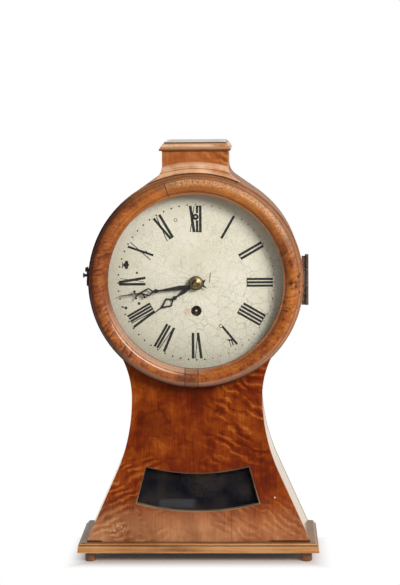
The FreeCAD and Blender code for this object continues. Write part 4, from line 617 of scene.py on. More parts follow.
door_low, door_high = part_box("back_door")
stop_foot = door_low.z - END_STOP_REACH
stop_top = door_high.z + END_STOP_REACH
stop_left = door_low.x + SIDE_STOP_LAP
stop_right = door_high.x - SIDE_STOP_LAP
stops = [batten(door_low.x - SIDE_STOP_REACH, stop_left, stop_foot, stop_top),
         batten(stop_right, door_high.x + SIDE_STOP_REACH, stop_foot, stop_top),
         batten(stop_left, stop_right, stop_foot, door_low.z + END_STOP_LAP),
         batten(stop_left, stop_right, door_high.z - END_STOP_LAP, stop_top)]
fix(join_as("door_stops", stops), straight_wood("stop_pine", UPWARDS, OLD_PINE, 0.6), "case")

# Movement: two brass plates on four pillars with a going barrel, three wheels, an anchor escapement
# and the motion work under the dial. Brass wheels and plates, steel arbors and springs.
PLATE_SHADE_BROWN = (0.10, 0.065, 0.024)
PLATE_SHADE_BLACK = (0.03, 0.02, 0.009)
ARBOR_SHADE_TONES = ((0.012, 0.010, 0.008), (0.04, 0.033, 0.026))
ARBOR_HIGHLIGHT = (0.72, 0.70, 0.66)
ARBOR_HIGHLIGHT_EDGE = mm(1.6, 1.0)
SCALE_SIZE = mm(2)
SCALE_DEPTH = mm(0.1)
WINDING_LEVEL = mm(313.5)
REGULATOR_LEVEL = mm(429)

# The front plate is painted nearly black as painted shade for the dark space behind the dial, seen through
# the winding hole.
dress(aged_metal("dark_brass", PLATE_SHADE_BROWN, PLATE_SHADE_BLACK, 0.45, BRASS_GRAIN), "front_plate")
dress(old_brass, "back_plate", "plate_pillars", "barrel", "barrel_cap", "ratchet_wheel",
      "centre_wheel", "third_wheel", "escape_wheel", "back_cock", "minute_wheel", "hour_wheel")
dress(plain_steel, "mainspring", "click", "click_spring", "pallet_anchor", "cannon_pinion",
      "suspension_spring")
# The arbor ends are near-black scaled steel as painted shade in the winding and regulator holes, with a
# painted highlight at the middle of each end.
winding_steel, place = new_finish("winding_steel", {"Metallic": 0.8})
off_winding = round_centre(place, WINDING_LEVEL)[2]
off_regulator = round_centre(place, REGULATOR_LEVEL)[2]
arbor_highlight = rise(off_winding.math("MINIMUM", off_winding, off_regulator), *ARBOR_HIGHLIGHT_EDGE)
scale = noise(place, SCALE_SIZE, 4, 0.6)
feed(winding_steel, {
    "Base Color": blend(arbor_highlight, tones(scale, (0.4, 0.7), ARBOR_SHADE_TONES), ARBOR_HIGHLIGHT),
    "Roughness": 0.45 + scale * 0.2,
    "Normal": relief(scale, 0.2, SCALE_DEPTH)})
dress(winding_steel, "winding_arbor", "regulator_arbor")

# Pendulum: a steel rod on its spring with a lens-shaped bob of thin brass over lead,
# held up by a round rating nut on the rod's threaded end.
BOB_BRIGHT = (0.55, 0.37, 0.14)
BOB_DULL = (0.26, 0.17, 0.07)
BOB_GRAIN = mm(3)
dress(plain_steel, "pendulum_rod")
dress(aged_metal("bob_brass", BOB_BRIGHT, BOB_DULL, 0.3, BOB_GRAIN), "pendulum_bob", "rating_nut")

# Dial: an iron disc painted off-white, riveted to four feet. The old paint is crazed all over,
# with radial cracks by the middle and a stain by the winding hole, and painted shade with some grime
# darkens it towards the rim, the lower left and the bottom.
DIAL_TONES = ((0.67, 0.635, 0.475), (0.745, 0.71, 0.575), (0.79, 0.755, 0.62))
DIAL_SHADE = (0.47, 0.455, 0.345)
CRACK_GREY = (0.28, 0.265, 0.195)
STAIN_BROWN = (0.50, 0.28, 0.17)
FLYSPECK_BROWN = (0.16, 0.13, 0.08)
SCRATCH_BROWN = (0.17, 0.13, 0.03)
DRIFT_SIZE = mm(11)
DRIFT_SIDEWAYS = mm(3)
DRIFT_UPWARDS = mm(4)
WIDE_CELL = mm(13)
FINE_CELL = mm(4.4)
CRAZE_PATCH = mm(34)
FINE_CRAZE_START = mm(16, 34)
RAY_CELLS = 4.4
RAY_LENGTH = mm(30)
RAY_END = mm(46, 22)
LOW_RIGHT = mm(10, 70)
TINT_SIZE = mm(45)
DIAL_RIM_SHADE = mm(70, 112)
DIAL_LOW_LEFT_SHADE = mm(0, -130)
DIAL_LOW_SHADE = mm(-20, -100)
STAIN = mm(-11.5, -35.5)
STAIN_EDGE = mm(6, 1)
STAIN_SWAY = mm(14)
FLYSPECK_SPACING = mm(13)
SCRATCH = mm(17, 6)
SCRATCH_LEAN = 0.1
SCRATCH_WIDTH = mm(0.8, 0.3)
SCRATCH_HEIGHT = mm(6.6, 5.4)
CRACK_DEPTH = mm(0.12)
collet_low, collet_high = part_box("hand_collet")
DIAL_LEVEL = (collet_low.z + collet_high.z) / 2
DIAL_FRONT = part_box("dial_plate")[0].y


def cell_edge(place, size=1.0):
    """Distance from the nearest edge of a net of cells."""
    return place.node("ShaderNodeTexVoronoi", {"feature": "DISTANCE_TO_EDGE"},
                      {"Vector": spread(place, size), "Scale": 1})


dial_paint, place = new_finish("crazed_dial_paint", {"Specular IOR Level": 0.3})
across, up, from_centre, bearing = round_centre(place, DIAL_LEVEL)
drift = noise(place, DRIFT_SIZE, 4, 0.6)
aside = vector_of(sway(drift, DRIFT_SIDEWAYS), 0, sway(drift, DRIFT_UPWARDS))
shifted = place.node("ShaderNodeVectorMath", {"operation": "ADD"}, {0: place, 1: aside})
wide_net = rise(cell_edge(shifted, WIDE_CELL), 0.04, 0.012)
fine_net = rise(cell_edge(shifted, FINE_CELL), 0.08, 0.02) * rise(from_centre, *FINE_CRAZE_START)
patchy = rise(noise(place, CRAZE_PATCH, 3, 0.55), 0.40, 0.62)
ray_place = vector_of(bearing * RAY_CELLS, from_centre / RAY_LENGTH, 0)
rays = rise(cell_edge(ray_place), 0.07, 0.015) * rise(from_centre, *RAY_END)
low_right = rise(across - up, *LOW_RIGHT)
cracks = wide_net * (0.16 + low_right * 0.26) + fine_net * (0.13 + patchy * 0.2) + rays * 0.3
cracks = cracks.math("MINIMUM", cracks, 1)
tint = noise(place, TINT_SIZE, 4, 0.6)
# Painted shade with some grime: darker towards the rim, to the lower left and to the bottom.
grime_and_shade = (rise(from_centre, *DIAL_RIM_SHADE) * 0.4 + rise(across + up, *DIAL_LOW_LEFT_SHADE) * 0.3
         + rise(up, *DIAL_LOW_SHADE) * 0.3)
off_stain = reach(across - STAIN[0], up - STAIN[1]) + sway(drift, STAIN_SWAY)
flyspecks = rise(spots(place, FLYSPECK_SPACING), 0.055, 0.03)
scratch = (band(across - (up - SCRATCH[1]) * SCRATCH_LEAN, SCRATCH[0], SCRATCH_WIDTH)
           * band(up, SCRATCH[1], SCRATCH_HEIGHT))
paint = layered(
    tones(tint, (0.32, 0.52, 0.7), DIAL_TONES),
    (grime_and_shade * (0.5 + tint), DIAL_SHADE),
    (cracks * 0.85, CRACK_GREY),
    (rise(off_stain, *STAIN_EDGE) * 0.4, STAIN_BROWN),
    (flyspecks * 0.55, FLYSPECK_BROWN),
    (scratch, SCRATCH_BROWN))
feed(dial_paint, {
    "Base Color": paint,
    "Roughness": 0.5 + tint * 0.2,
    "Normal": relief(1 - cracks + tint * 0.2, 0.35, CRACK_DEPTH)})
dress(dial_paint, "dial_plate", "dial_feet")

# Numerals and minutes: Roman hours and a ring of dots, laid on the dial by brush in thin black paint.
# The paint is worn and lets the ground through in places.
INK_TONES = ((0.012, 0.011, 0.009), (0.03, 0.028, 0.022), (0.30, 0.29, 0.22))
INK_WEAR = mm(5)
INK_DEPTH = mm(0.05)
INK_THICKNESS = mm(0.06)
BRUSH_SPREAD = 1.12
BLOT_CORNERS = 10
MINUTES = 60
MINUTE_RADIUS = 95.6
WORN_MINUTES = 28
WORN_DOT = mm(0.75)
FULL_DOT = mm(1.05)

# Each stroke of a numeral, in millimetres: sideways and outwards at its inner end, the same at its outer end,
# and its width. Sideways is clockwise, and every numeral stands with its foot to the middle.
NUMERAL_STROKES = {
    1: [(0, 62.5, 0, 94, 2.7)],
    2: [(-2.4, 62, -2.4, 94, 2.7), (2.4, 62, 2.4, 94, 2.7),
        (-4.2, 62.4, 4.2, 62.4, 0.9), (-4, 93.6, 4, 93.6, 0.9)],
    3: [(-4.1, 62, -4.1, 94, 2.5), (0, 62, 0, 94, 2.5), (4.1, 62, 4.1, 94, 2.5),
        (-5.6, 62.4, 5.6, 62.4, 0.9)],
    4: [(-6.5, 63, -6.5, 94, 2.6), (-2.2, 62, -2.2, 94, 2.6), (2.2, 62, 2.2, 94, 2.6),
        (6.5, 62, 6.5, 94, 2.6), (-7.8, 93.6, 7.8, 93.6, 0.9), (0.4, 62.4, 7.8, 62.4, 0.9)],
    5: [(-0.5, 63, -5.0, 91, 2.5), (-3.4, 84, 2.6, 80.5, 1.6),
        (-1.4, 83, -0.4, 90, 1.2), (1.2, 82, 2.8, 90, 0.8)],
    6: [(-1.8, 62, -5.8, 94, 2.9), (-1.5, 62, 1.6, 94, 0.9), (4.4, 62, 4.4, 94, 2.9)],
    7: [(-4.0, 62, -7.8, 94, 2.8), (-3.6, 62, -1.0, 94, 0.9),
        (1.6, 62, 1.6, 94, 2.6), (5.4, 62, 5.4, 94, 2.6)],
    8: [(-4.8, 62, -8.8, 94, 2.8), (-4.4, 62, -3.2, 94, 0.9), (-0.9, 62, -0.9, 94, 2.4),
        (2.7, 62, 2.7, 94, 2.4), (6.3, 62, 6.3, 94, 2.4), (-2.4, 62.4, 7.8, 62.4, 0.9)],
    9: [(-1.6, 62, -1.7, 94.4, 2.9), (6.2, 62, 0.9, 94.4, 2.9),
        (1.4, 64, 5.4, 93, 0.6), (-2.8, 94, 2.2, 94, 0.9)],
    10: [(3.2, 62, -2.9, 94.4, 2.4), (-3.4, 62, 3.3, 94.4, 0.9)],
    11: [(0.6, 62, -4.9, 94, 2.7), (-4.6, 61.5, -0.8, 94, 0.9),
         (3.5, 62.5, 3.5, 94.4, 2.9), (-0.6, 62.4, 5.4, 62.6, 1.0)],
    12: [(-1.9, 62, -6.4, 94.2, 3.1), (-6.6, 62, -1.5, 94.2, 0.9), (1.9, 62, 1.9, 76.5, 2.6),
         (1.9, 85, 1.9, 94.2, 2.6), (5.8, 62, 5.8, 94.2, 2.9),
         (0.2, 62.4, 7.6, 62.4, 1.0), (0.4, 93.8, 7.6, 93.8, 1.0)],
}


def on_dial(hour, sideways, outwards):
    """Place on the dial, in metres, from an hour and millimetres to the side and from the middle."""
    turn = math.tau * hour / len(NUMERAL_STROKES)
    x = outwards * math.sin(turn) + sideways * math.cos(turn)
    z = outwards * math.cos(turn) - sideways * math.sin(turn)
    return mm(x), mm(z) + DIAL_LEVEL


def stand(piece, turn, at):
    """Turns a piece that was made lying down to face the front, and puts it in its place."""
    piece.rotation_euler = (math.pi / 2, turn, 0)
    piece.location = at
    bpy.ops.object.transform_apply(location=True, rotation=True, scale=True)
    return piece


def lay_paint(width, height, turn, x, z):
    """Stretches the flat shape just added, thickens it as paint and lays it on the dial."""
    bpy.ops.object.mode_set(mode="EDIT")
    bpy.ops.transform.resize(value=(width, height, 1))
    bpy.ops.mesh.extrude_region_move(TRANSFORM_OT_translate={"value": (0, 0, INK_THICKNESS)})
    bpy.ops.mesh.select_all(action="SELECT")
    bpy.ops.mesh.normals_make_consistent(inside=False)
    bpy.ops.object.mode_set(mode="OBJECT")
    return stand(bpy.context.object, turn, (x, DIAL_FRONT, z))


def ink_stroke(foot, head, width):
    """One brush stroke: a strip drawn from foot to head."""
    deselect()
    bpy.ops.mesh.primitive_plane_add(size=1)
    turn = math.atan2(head[0] - foot[0], head[1] - foot[1])
    return lay_paint(width, math.dist(foot, head), turn, (foot[0] + head[0]) / 2, (foot[1] + head[1]) / 2)


def ink_blot(x, z, radius, tall=1):
    """A dot of paint: a filled ring of a few corners."""
    deselect()
    bpy.ops.mesh.primitive_circle_add(vertices=BLOT_CORNERS, radius=radius, fill_type="NGON")
    return lay_paint(1, tall, 0, x, z)


ink, place = new_finish("worn_black_paint", {"Specular IOR Level": 0.3})
rubbed = noise(place, INK_WEAR, 5, 0.7)
feed(ink, {
    "Base Color": tones(rubbed, (0.45, 0.64, 0.76), INK_TONES),
    "Roughness": 0.45 + rubbed * 0.3,
    "Normal": relief(rubbed, 0.2, INK_DEPTH)})

strokes = []
for hour, lines in NUMERAL_STROKES.items():
    for inner_side, inner, outer_side, outer, width in lines:
        foot = on_dial(hour, inner_side, inner)
        head = on_dial(hour, outer_side, outer)
        strokes.append(ink_stroke(foot, head, mm(width * BRUSH_SPREAD)))
fix(join_as("hour_numerals", strokes), ink, "case")

blots = []
for minute in range(MINUTES):
    size = FULL_DOT if minute > WORN_MINUTES else WORN_DOT
    hour = minute * len(NUMERAL_STROKES) / MINUTES
    blots.append(ink_blot(*on_dial(hour, 0, MINUTE_RADIUS), size))
fix(join_as("minute_dots", blots), ink, "case")

# Half-hour marks: small leaves painted between the hours, most of them worn away. What is left is
# one three-lobed leaf on its stalk and a few dots. Places and sizes are in millimetres.
LEAF_LOBES = [(-85.0, 373.6, 2.2, 1.1), (-83.9, 370.6, 2.1, 1.0), (-85.2, 367.6, 2.2, 1.0),
              (-87.4, 370.8, 1.7, 1.2)]
STRAY_DOTS = [(-72.3, 360.7, 1.4), (-60.9, 386.4, 1.3), (-86.4, 317.5, 1.9), (-89.2, 318.2, 0.8),
              (-70.3, 322.9, 1.8)]
LEAF_STROKES = [(-90.2, 366.5, -89.6, 374, 1.0), (-88.4, 368.4, -84.8, 373.4, 1.4)]
blots = [ink_blot(*mm(x, z, size), tall) for x, z, size, tall in LEAF_LOBES]
blots += [ink_blot(*mm(*dot)) for dot in STRAY_DOTS]
for foot_x, foot_z, head_x, head_z, width in LEAF_STROKES:
    blots.append(ink_stroke(mm(foot_x, foot_z), mm(head_x, head_z), mm(width)))
fix(join_as("half_hour_marks", blots), ink, "case")

# Rivet rings: the ends of two dial feet have rusted round their edges and lift the paint,
# so that a flat ring of rust shows on the dial round each.
RUST_TONES = ((0.09, 0.055, 0.010), (0.24, 0.155, 0.032), (0.38, 0.30, 0.14))
RUST_SIZE = mm(1.6)
RUST_DEPTH = mm(0.1)
RIVETS = [mm(-24.4, 425.2), mm(29.9, 294.6)]
RIVET_RADIUS = mm(1.9)
RUST_WIDTH = mm(0.42)
RUST_FLATNESS = 0.35
RUST_STEPS = 28
SECTION_STEPS = 8


def flat_ring(radius, width, flatness, steps, x, z):
    """A ring of round section, pressed flat on the face of the dial."""
    deselect()
    bpy.ops.mesh.primitive_torus_add(major_radius=radius, minor_radius=width, major_segments=steps,
                                     minor_segments=SECTION_STEPS)
    bpy.ops.object.mode_set(mode="EDIT")
    bpy.ops.transform.resize(value=(1, 1, flatness))
    bpy.ops.object.mode_set(mode="OBJECT")
    return stand(bpy.context.object, 0, (x, DIAL_FRONT, z))


rust, place = new_finish("rust_ring", {"Specular IOR Level": 0.2})
crust = noise(place, RUST_SIZE, 4, 0.6)
feed(rust, {
    "Base Color": tones(crust, (0.35, 0.6, 0.75), RUST_TONES),
    "Roughness": 0.6 + crust * 0.2,
    "Normal": relief(crust, 0.4, RUST_DEPTH)})
rust_rings = [flat_ring(RIVET_RADIUS, RUST_WIDTH, RUST_FLATNESS, RUST_STEPS, x, z) for x, z in RIVETS]
fix(join_as("rivet_rings", rust_rings), rust, "case")

# Regulator eyelet: a thin steel collar pressed into the hole in the twelve, round the end of the arbor,
# and painted over with the numeral.
EYELET_RADIUS = mm(3.3)
EYELET_WIDTH = mm(0.5)
EYELET_FLATNESS = 0.5
EYELET_STEPS = 36
eyelet = flat_ring(EYELET_RADIUS, EYELET_WIDTH, EYELET_FLATNESS, EYELET_STEPS, 0, REGULATOR_LEVEL)
fix(join_as("regulator_eyelet", [eyelet]), ink, "case")

# Hands: sawn and filed from sheet steel, pierced, and blued; the blue has gone to a dark brown grey.
# A domed brass collet and a small nut hold them on the centre arbor.
HAND_TONES = ((0.010, 0.009, 0.008), (0.020, 0.017, 0.014), (0.045, 0.035, 0.026))
BLUING_SIZE = mm(8)
FILE_MARKS = mm(0.6, 2, 0.6)
FILE_DEPTH = mm(0.08)
COLLET_TONES = ((0.62, 0.47, 0.20), (0.42, 0.31, 0.13), (0.20, 0.14, 0.055))
COLLET_SHADE = (0.06, 0.04, 0.018)
COLLET_TARNISH = mm(4)
COLLET_DEPTH = mm(0.15)
NUT_FOOT = mm(3.9)
NUT_FOOT_WIDTH = mm(1.1, 0.5)
COLLET_RIM = mm(7, 8.6)
NUT_HOLE = mm(2.1, 1.6)
NUT_SIDES = 6
NUT_RADIUS = mm(3.2)
NUT_HEIGHT = mm(1.7)
NUT_WALL = mm(1.1)
NUT_SOFTNESS = mm(0.12)
NUT_TURN = math.radians(12)
NUT_BACK = mm(-48.9)


def soften(piece, width):
    """Rounds the edges of a piece."""
    soft = piece.modifiers.new("soft", "BEVEL")
    soft.width = width
    soft.segments = 2
    bpy.ops.object.modifier_apply(modifier="soft")


hand_steel, place = new_finish("dark_hand_steel", {"Metallic": 0.2, "Specular IOR Level": 0.3})
bluing = noise(place, BLUING_SIZE, 4, 0.6)
filed = noise(place, FILE_MARKS, 2, 0.5)
feed(hand_steel, {
    "Base Color": tones(bluing, (0.36, 0.55, 0.72), HAND_TONES),
    "Roughness": 0.5 + bluing * 0.2,
    "Normal": relief(filed, 0.15, FILE_DEPTH)})
dress(hand_steel, "hour_hand", "minute_hand")

collet_brass, place = new_finish("collet_brass", {"Metallic": 1})
off_arbor = round_centre(place, DIAL_LEVEL)[2]
tarnish = noise(place, COLLET_TARNISH, 4, 0.65)
# Painted shade darkens the collet round the foot of the nut, at its rim and in the hole in its middle.
collet_shade = band(off_arbor, NUT_FOOT, NUT_FOOT_WIDTH) + rise(off_arbor, *COLLET_RIM) + rise(off_arbor, *NUT_HOLE)
turned_brass = tones(tarnish, (0.34, 0.52, 0.7), COLLET_TONES)
feed(collet_brass, {
    "Base Color": blend(collet_shade * 0.85, turned_brass, COLLET_SHADE),
    "Roughness": 0.26 + tarnish * 0.25,
    "Normal": relief(tarnish, 0.2, COLLET_DEPTH)})
dress(collet_brass, "hand_collet")

deselect()
bpy.ops.mesh.primitive_cylinder_add(vertices=NUT_SIDES, radius=NUT_RADIUS, depth=NUT_HEIGHT,
                                    end_fill_type="NOTHING")
nut = bpy.context.object
wall = nut.modifiers.new("wall", "SOLIDIFY")
wall.thickness = NUT_WALL
wall.offset = -1
bpy.ops.object.modifier_apply(modifier="wall")
soften(nut, NUT_SOFTNESS)
stand(nut, NUT_TURN, (0, NUT_BACK - NUT_HEIGHT / 2, DIAL_LEVEL))
fix(join_as("collet_nut", [nut]), collet_brass, "minute_work")

# Bezel: a ring turned from hardwood, stained and varnished, with a round nose, and a pane held in it by a
# wooden bead. Flame figure crosses it on both sides; it is split near the top, patched with a block at the
# bottom, and its varnish is crazed on the right and worn on the left. Painted shade darkens its outer rim on
# the left and below, its quirks and its left side; painted light brightens the rim on the right and the top
# of the nose; painted highlights lie on the crazed varnish at the upper right and along the nose and lip at
# the lower left; and a painted reflection runs along the bottom.
BEZEL_TONES = ((0.045, 0.009, 0.003), (0.175, 0.034, 0.004), (0.385, 0.103, 0.012), (0.62, 0.235, 0.048))
RIM_SHADE = (0.045, 0.012, 0.009)
RIM_LIT = (0.34, 0.15, 0.062)
BEZEL_QUIRK_SHADE = (0.03, 0.009, 0.005)
NOSE_TOP_LIGHT = (0.62, 0.21, 0.03)
BLOOM_AND_HIGHLIGHT = (0.80, 0.47, 0.22)
LIP_BROWN = (0.30, 0.115, 0.05)
LIP_LIGHT = (0.62, 0.43, 0.29)
NOSE_HIGHLIGHT = (0.92, 0.74, 0.63)
UNDERSIDE_REFLECTION = (0.42, 0.22, 0.14)
BLOCK_BROWN = (0.12, 0.034, 0.009)
GAP_DARK = (0.022, 0.007, 0.004)
CRAZE_BROWN = (0.10, 0.035, 0.015)
LEFT_SHADE_RED = (0.15, 0.024, 0.004)
BEAD_TONES = ((0.10, 0.036, 0.012), (0.2, 0.08, 0.03), (0.3, 0.14, 0.06))
NOSE_RADIUS = mm(119)
FLAME_LEAN = 0.35
FLAME_SIZE = mm(5.2, 22, 40)
TURNING_SIZE = mm(90, 2.0, 3.0)
BEZEL_CLOUDS = mm(48)
BEZEL_MOTTLE = mm(9)
BURR_SIZE = mm(2.8)
BEZEL_DEPTH = mm(0.4)

# Stretches of the ring, in degrees from the top: each pair runs from none of it to all of it.
FLAMES_LEFT = ((-38, -72), (-160, -125))
FLAMES_RIGHT = ((55, 80), (128, 100))
BLOOM_HIGHLIGHT_STRETCH = ((-26, -6), (82, 48))
TOP_LIGHT_STRETCH = ((-60, -15), (75, 35))
CHIP_STRETCH = ((80, 86), (112, 104))
CRAZE_STRETCH = ((-4, 10), (110, 70))

# Radii, levels and widths of what shows on the ring.
RIM_START = mm(121, 129)
RIM_SHADE_EDGE = mm(50, -40)
FIRST_QUIRK = mm(125.6)
FIRST_QUIRK_WIDTH = mm(0.8, 0.2)
SECOND_QUIRK = mm(128.7)
SECOND_QUIRK_WIDTH = mm(0.5, 0.15)
BLOOM_HIGHLIGHT_INSIDE = mm(115.5, 121)
BLOOM_HIGHLIGHT_OUTSIDE = mm(126.5, 124.5)
SPARKLE_SIZE = mm(1.5)
TOP_LIGHT_OUTSIDE = mm(122, 117)
LIP_EDGE = mm(111, 108.5)
LIT_LIP_EDGE = mm(111.8, 110.6)
LIT_LIP_START = mm(-70, -100)
NOSE_LINE = mm(113.0)
NOSE_LINE_WIDTH = mm(1.1, 0.3)
NOSE_LINE_START = mm(-94, -111)
SPLIT_PLACE = mm(-34.9)
SPLIT_SWAY = mm(2.2)
SPLIT_WIDTH = mm(0.75, 0.2)
SPLIT_OUTSIDE = mm(128, 122)
BLOCK_TOP = mm(-90, -95)
BLOCK_MIDDLE = mm(-5.6)
BLOCK_WIDTH = mm(8.2, 7.6)
BLOCK_JOINTS = [mm(-13.6, 1.2), mm(2.3, 1.0)]
JOINT_WIDTH = mm(0.8, 0.2)
UNDERSIDE_TOP = mm(-60, -105)
UNDERSIDE_RADIUS = mm(124.5)
UNDERSIDE_WIDTH = mm(5, 1)
BEZEL_CHIP_SPACING = mm(8)
CHIP_INSIDE = mm(112, 115)
CRAZE_CELL = mm(3.1)
CRAZE_INSIDE = mm(113, 117)
WORN_SIDE = mm(20, -60)
LEFT_SHADE_SIDE = mm(-70, -112)
LEFT_SHADE_FOOT = mm(-70, -20)
PANE_TINT = (0.85, 0.88, 0.86, 1)
HAZE_SIZE = mm(60)


def stretch_of(bearing, first, last):
    """Share of a stretch of the ring between two pairs of degrees."""
    come, go = [rise(bearing, *[math.radians(limit) for limit in pair]) for pair in (first, last)]
    return come * go


bezel_wood, place = new_finish("turned_bezel_wood", {"Specular IOR Level": 0.35, "Coat Roughness": 0.2})
across, up, from_centre, bearing = round_centre(place, DRUM_LEVEL)
along = bearing * NOSE_RADIUS
straight = vector_of(along + from_centre * FLAME_LEAN, from_centre, axis(place, "Y"))
flames = noise(straight, FLAME_SIZE, 4, 0.6, 1.3)
turnings = noise(straight, TURNING_SIZE, 4, 0.6)
clouds = noise(straight, BEZEL_CLOUDS)
mottle = noise(place, BEZEL_MOTTLE, 4, 0.65)
burr = noise(place, BURR_SIZE, 4, 0.7)
flamed = larger(stretch_of(bearing, *FLAMES_LEFT), stretch_of(bearing, *FLAMES_RIGHT) * 0.7)
figure = (clouds * 0.52 + mottle * 0.34 + 0.03 + sway(flames, 0.16 + flamed * 0.72) + sway(burr, 0.34)
          + sway(turnings, 0.38 - flamed * 0.25))
rim = rise(from_centre, *RIM_START)
shaded = rise(across * 0.8 + up * 0.6, *RIM_SHADE_EDGE)
# The quirks are dark lines of painted shade.
quirks = larger(band(from_centre, FIRST_QUIRK, FIRST_QUIRK_WIDTH),
                band(from_centre, SECOND_QUIRK, SECOND_QUIRK_WIDTH) * 0.7)
# Painted light brightens the top of the nose.
top_light = stretch_of(bearing, *TOP_LIGHT_STRETCH) * rise(from_centre, *TOP_LIGHT_OUTSIDE)
# A painted highlight over the crazed varnish at the upper right, broken by the sparkle noise.
bloom_and_highlight = (stretch_of(bearing, *BLOOM_HIGHLIGHT_STRETCH) * rise(from_centre, *BLOOM_HIGHLIGHT_INSIDE)
           * rise(from_centre, *BLOOM_HIGHLIGHT_OUTSIDE))
sparkle = rise(noise(place, SPARKLE_SIZE, 3, 0.7), 0.44, 0.58)
low_left = across * 0.6 + up * 0.8
# Painted light on the inner lip at the lower left.
lit_lip = rise(from_centre, *LIT_LIP_EDGE) * rise(low_left, *LIT_LIP_START)
# A painted highlight line along the nose at the lower left.
nose_highlight = band(from_centre, NOSE_LINE, NOSE_LINE_WIDTH) * rise(low_left, *NOSE_LINE_START)
# A painted reflection of the floor along the bottom of the rim.
underside_reflection = rise(up, *UNDERSIDE_TOP) * band(from_centre, UNDERSIDE_RADIUS, UNDERSIDE_WIDTH)
low = rise(up, *BLOCK_TOP)
gaps = band(along + sway(mottle, SPLIT_SWAY), SPLIT_PLACE, SPLIT_WIDTH) * rise(from_centre, *SPLIT_OUTSIDE)
for joint, swing in BLOCK_JOINTS:
    gaps = larger(gaps, band(across + sway(mottle, swing), joint, JOINT_WIDTH) * low)
chips = rise(spots(place, BEZEL_CHIP_SPACING) + sway(mottle, 0.5), 0.30, 0.18)
chips = chips * stretch_of(bearing, *CHIP_STRETCH) * rise(from_centre, *CHIP_INSIDE)
gaps = larger(gaps, chips * 0.85)
crazed = (rise(cell_edge(place, CRAZE_CELL), 0.09, 0.02) * stretch_of(bearing, *CRAZE_STRETCH)
          * rise(from_centre, *CRAZE_INSIDE))
worn_left = rise(across, *WORN_SIDE)
turned = layered(
    tones(figure, (0.25, 0.38, 0.51, 0.70), BEZEL_TONES),
    (rim * shaded * 0.85, RIM_SHADE),
    # Painted light on the outer rim where it is not in painted shade.
    (rim * (1 - shaded) * (0.3 + turnings * 0.6), RIM_LIT),
    (quirks * 0.55, BEZEL_QUIRK_SHADE),
    (top_light * 0.4, NOSE_TOP_LIGHT),
    (bloom_and_highlight * (0.12 + sparkle * 0.5), BLOOM_AND_HIGHLIGHT),
    (rise(from_centre, *LIP_EDGE) * 0.5, LIP_BROWN),
    (lit_lip * 0.6, LIP_LIGHT),
    (nose_highlight * 0.62, NOSE_HIGHLIGHT),
    (underside_reflection * (0.25 + turnings * 0.4), UNDERSIDE_REFLECTION),
    (band(across, BLOCK_MIDDLE, BLOCK_WIDTH) * low * 0.35, BLOCK_BROWN),
    (gaps * 0.9, GAP_DARK),
    (crazed * 0.35, CRAZE_BROWN),
    # Painted shade darkens the left side of the ring.
    (rise(across, *LEFT_SHADE_SIDE) * rise(up, *LEFT_SHADE_FOOT) * 0.4, LEFT_SHADE_RED))
height = turnings * 0.5 + mottle * 0.3 - gaps * 3 - crazed * 1.2 + sparkle * bloom_and_highlight * 0.8
feed(bezel_wood, {
    "Base Color": turned,
    "Roughness": 0.34 + mottle * 0.16 + bloom_and_highlight * 0.1 + worn_left * 0.2,
    "Coat Weight": (1 - worn_left) * (0.22 - bloom_and_highlight * 0.16),
    "Normal": relief(height, 0.24, BEZEL_DEPTH)})
dress(bezel_wood, "bezel_ring")
dress(straight_wood("bead_wood", INWARDS, BEAD_TONES, 0.5), "glass_bead")

bezel_pane, place = new_finish("bezel_pane", {"Base Color": PANE_TINT, "Roughness": 0.04,
                                              "Specular IOR Level": 0.3})
haze = noise(place, HAZE_SIZE, 3, 0.6)
feed(bezel_pane, {"Alpha": 0.003 + haze * 0.008})
dress(bezel_pane, "bezel_glass")

# Hinge: two bent leaves and a pin of wrought iron, screwed to the drum and to the bezel's rim, rusted dark.
# The screws are small flat heads with a filed slot.
IRON_TONES = ((0.05, 0.032, 0.022), (0.13, 0.085, 0.058), (0.28, 0.17, 0.105))
IRON_SCALE = mm(3.5)
IRON_PITS = mm(0.9)
IRON_DEPTH = mm(0.25)
HEAD_RADIUS = mm(2.1)
HEAD_HEIGHT = mm(0.8)
HEAD_CORNERS = 20
HEAD_SOFTNESS = mm(0.2)
SLOT_SIZE = mm(5, 0.6, 0.5)
SLOT_TURN = math.radians(40)
DRUM_LEAF_RADIUS = mm(131.2)
DRUM_SCREW_PLACE = mm(-36)
DRUM_SCREW_RISE = mm(13)
RIM_LEAF_RADIUS = mm(132.5)
RIM_SCREW_PLACE = mm(-49.4)
RIM_SCREW_RISE = mm(15)


def slotted_head(y, raised, radius):
    """Flat screw head on a bent leaf: a short cylinder with softened edges and a slot cut across."""
    deselect()
    bpy.ops.mesh.primitive_cube_add(size=1)
    slot = bpy.context.object
    slot.scale = SLOT_SIZE
    slot.location = (0, 0, HEAD_HEIGHT / 2)
    bpy.ops.object.transform_apply(location=True, rotation=True, scale=True)
    deselect()
    bpy.ops.mesh.primitive_cylinder_add(vertices=HEAD_CORNERS, radius=HEAD_RADIUS, depth=HEAD_HEIGHT)
    head = bpy.context.object
    soften(head, HEAD_SOFTNESS)
    sawn = head.modifiers.new("sawn", "BOOLEAN")
    sawn.object = slot
    sawn.operation = "DIFFERENCE"
    bpy.ops.object.modifier_apply(modifier="sawn")
    bpy.data.objects.remove(slot)
    lean = math.asin(raised / radius)
    head.rotation_euler = (SLOT_TURN, math.pi / 2 - lean, 0)
    head.location = (radius * math.cos(lean), y, DRUM_LEVEL + raised)
    bpy.ops.object.transform_apply(location=True, rotation=True, scale=True)
    return head


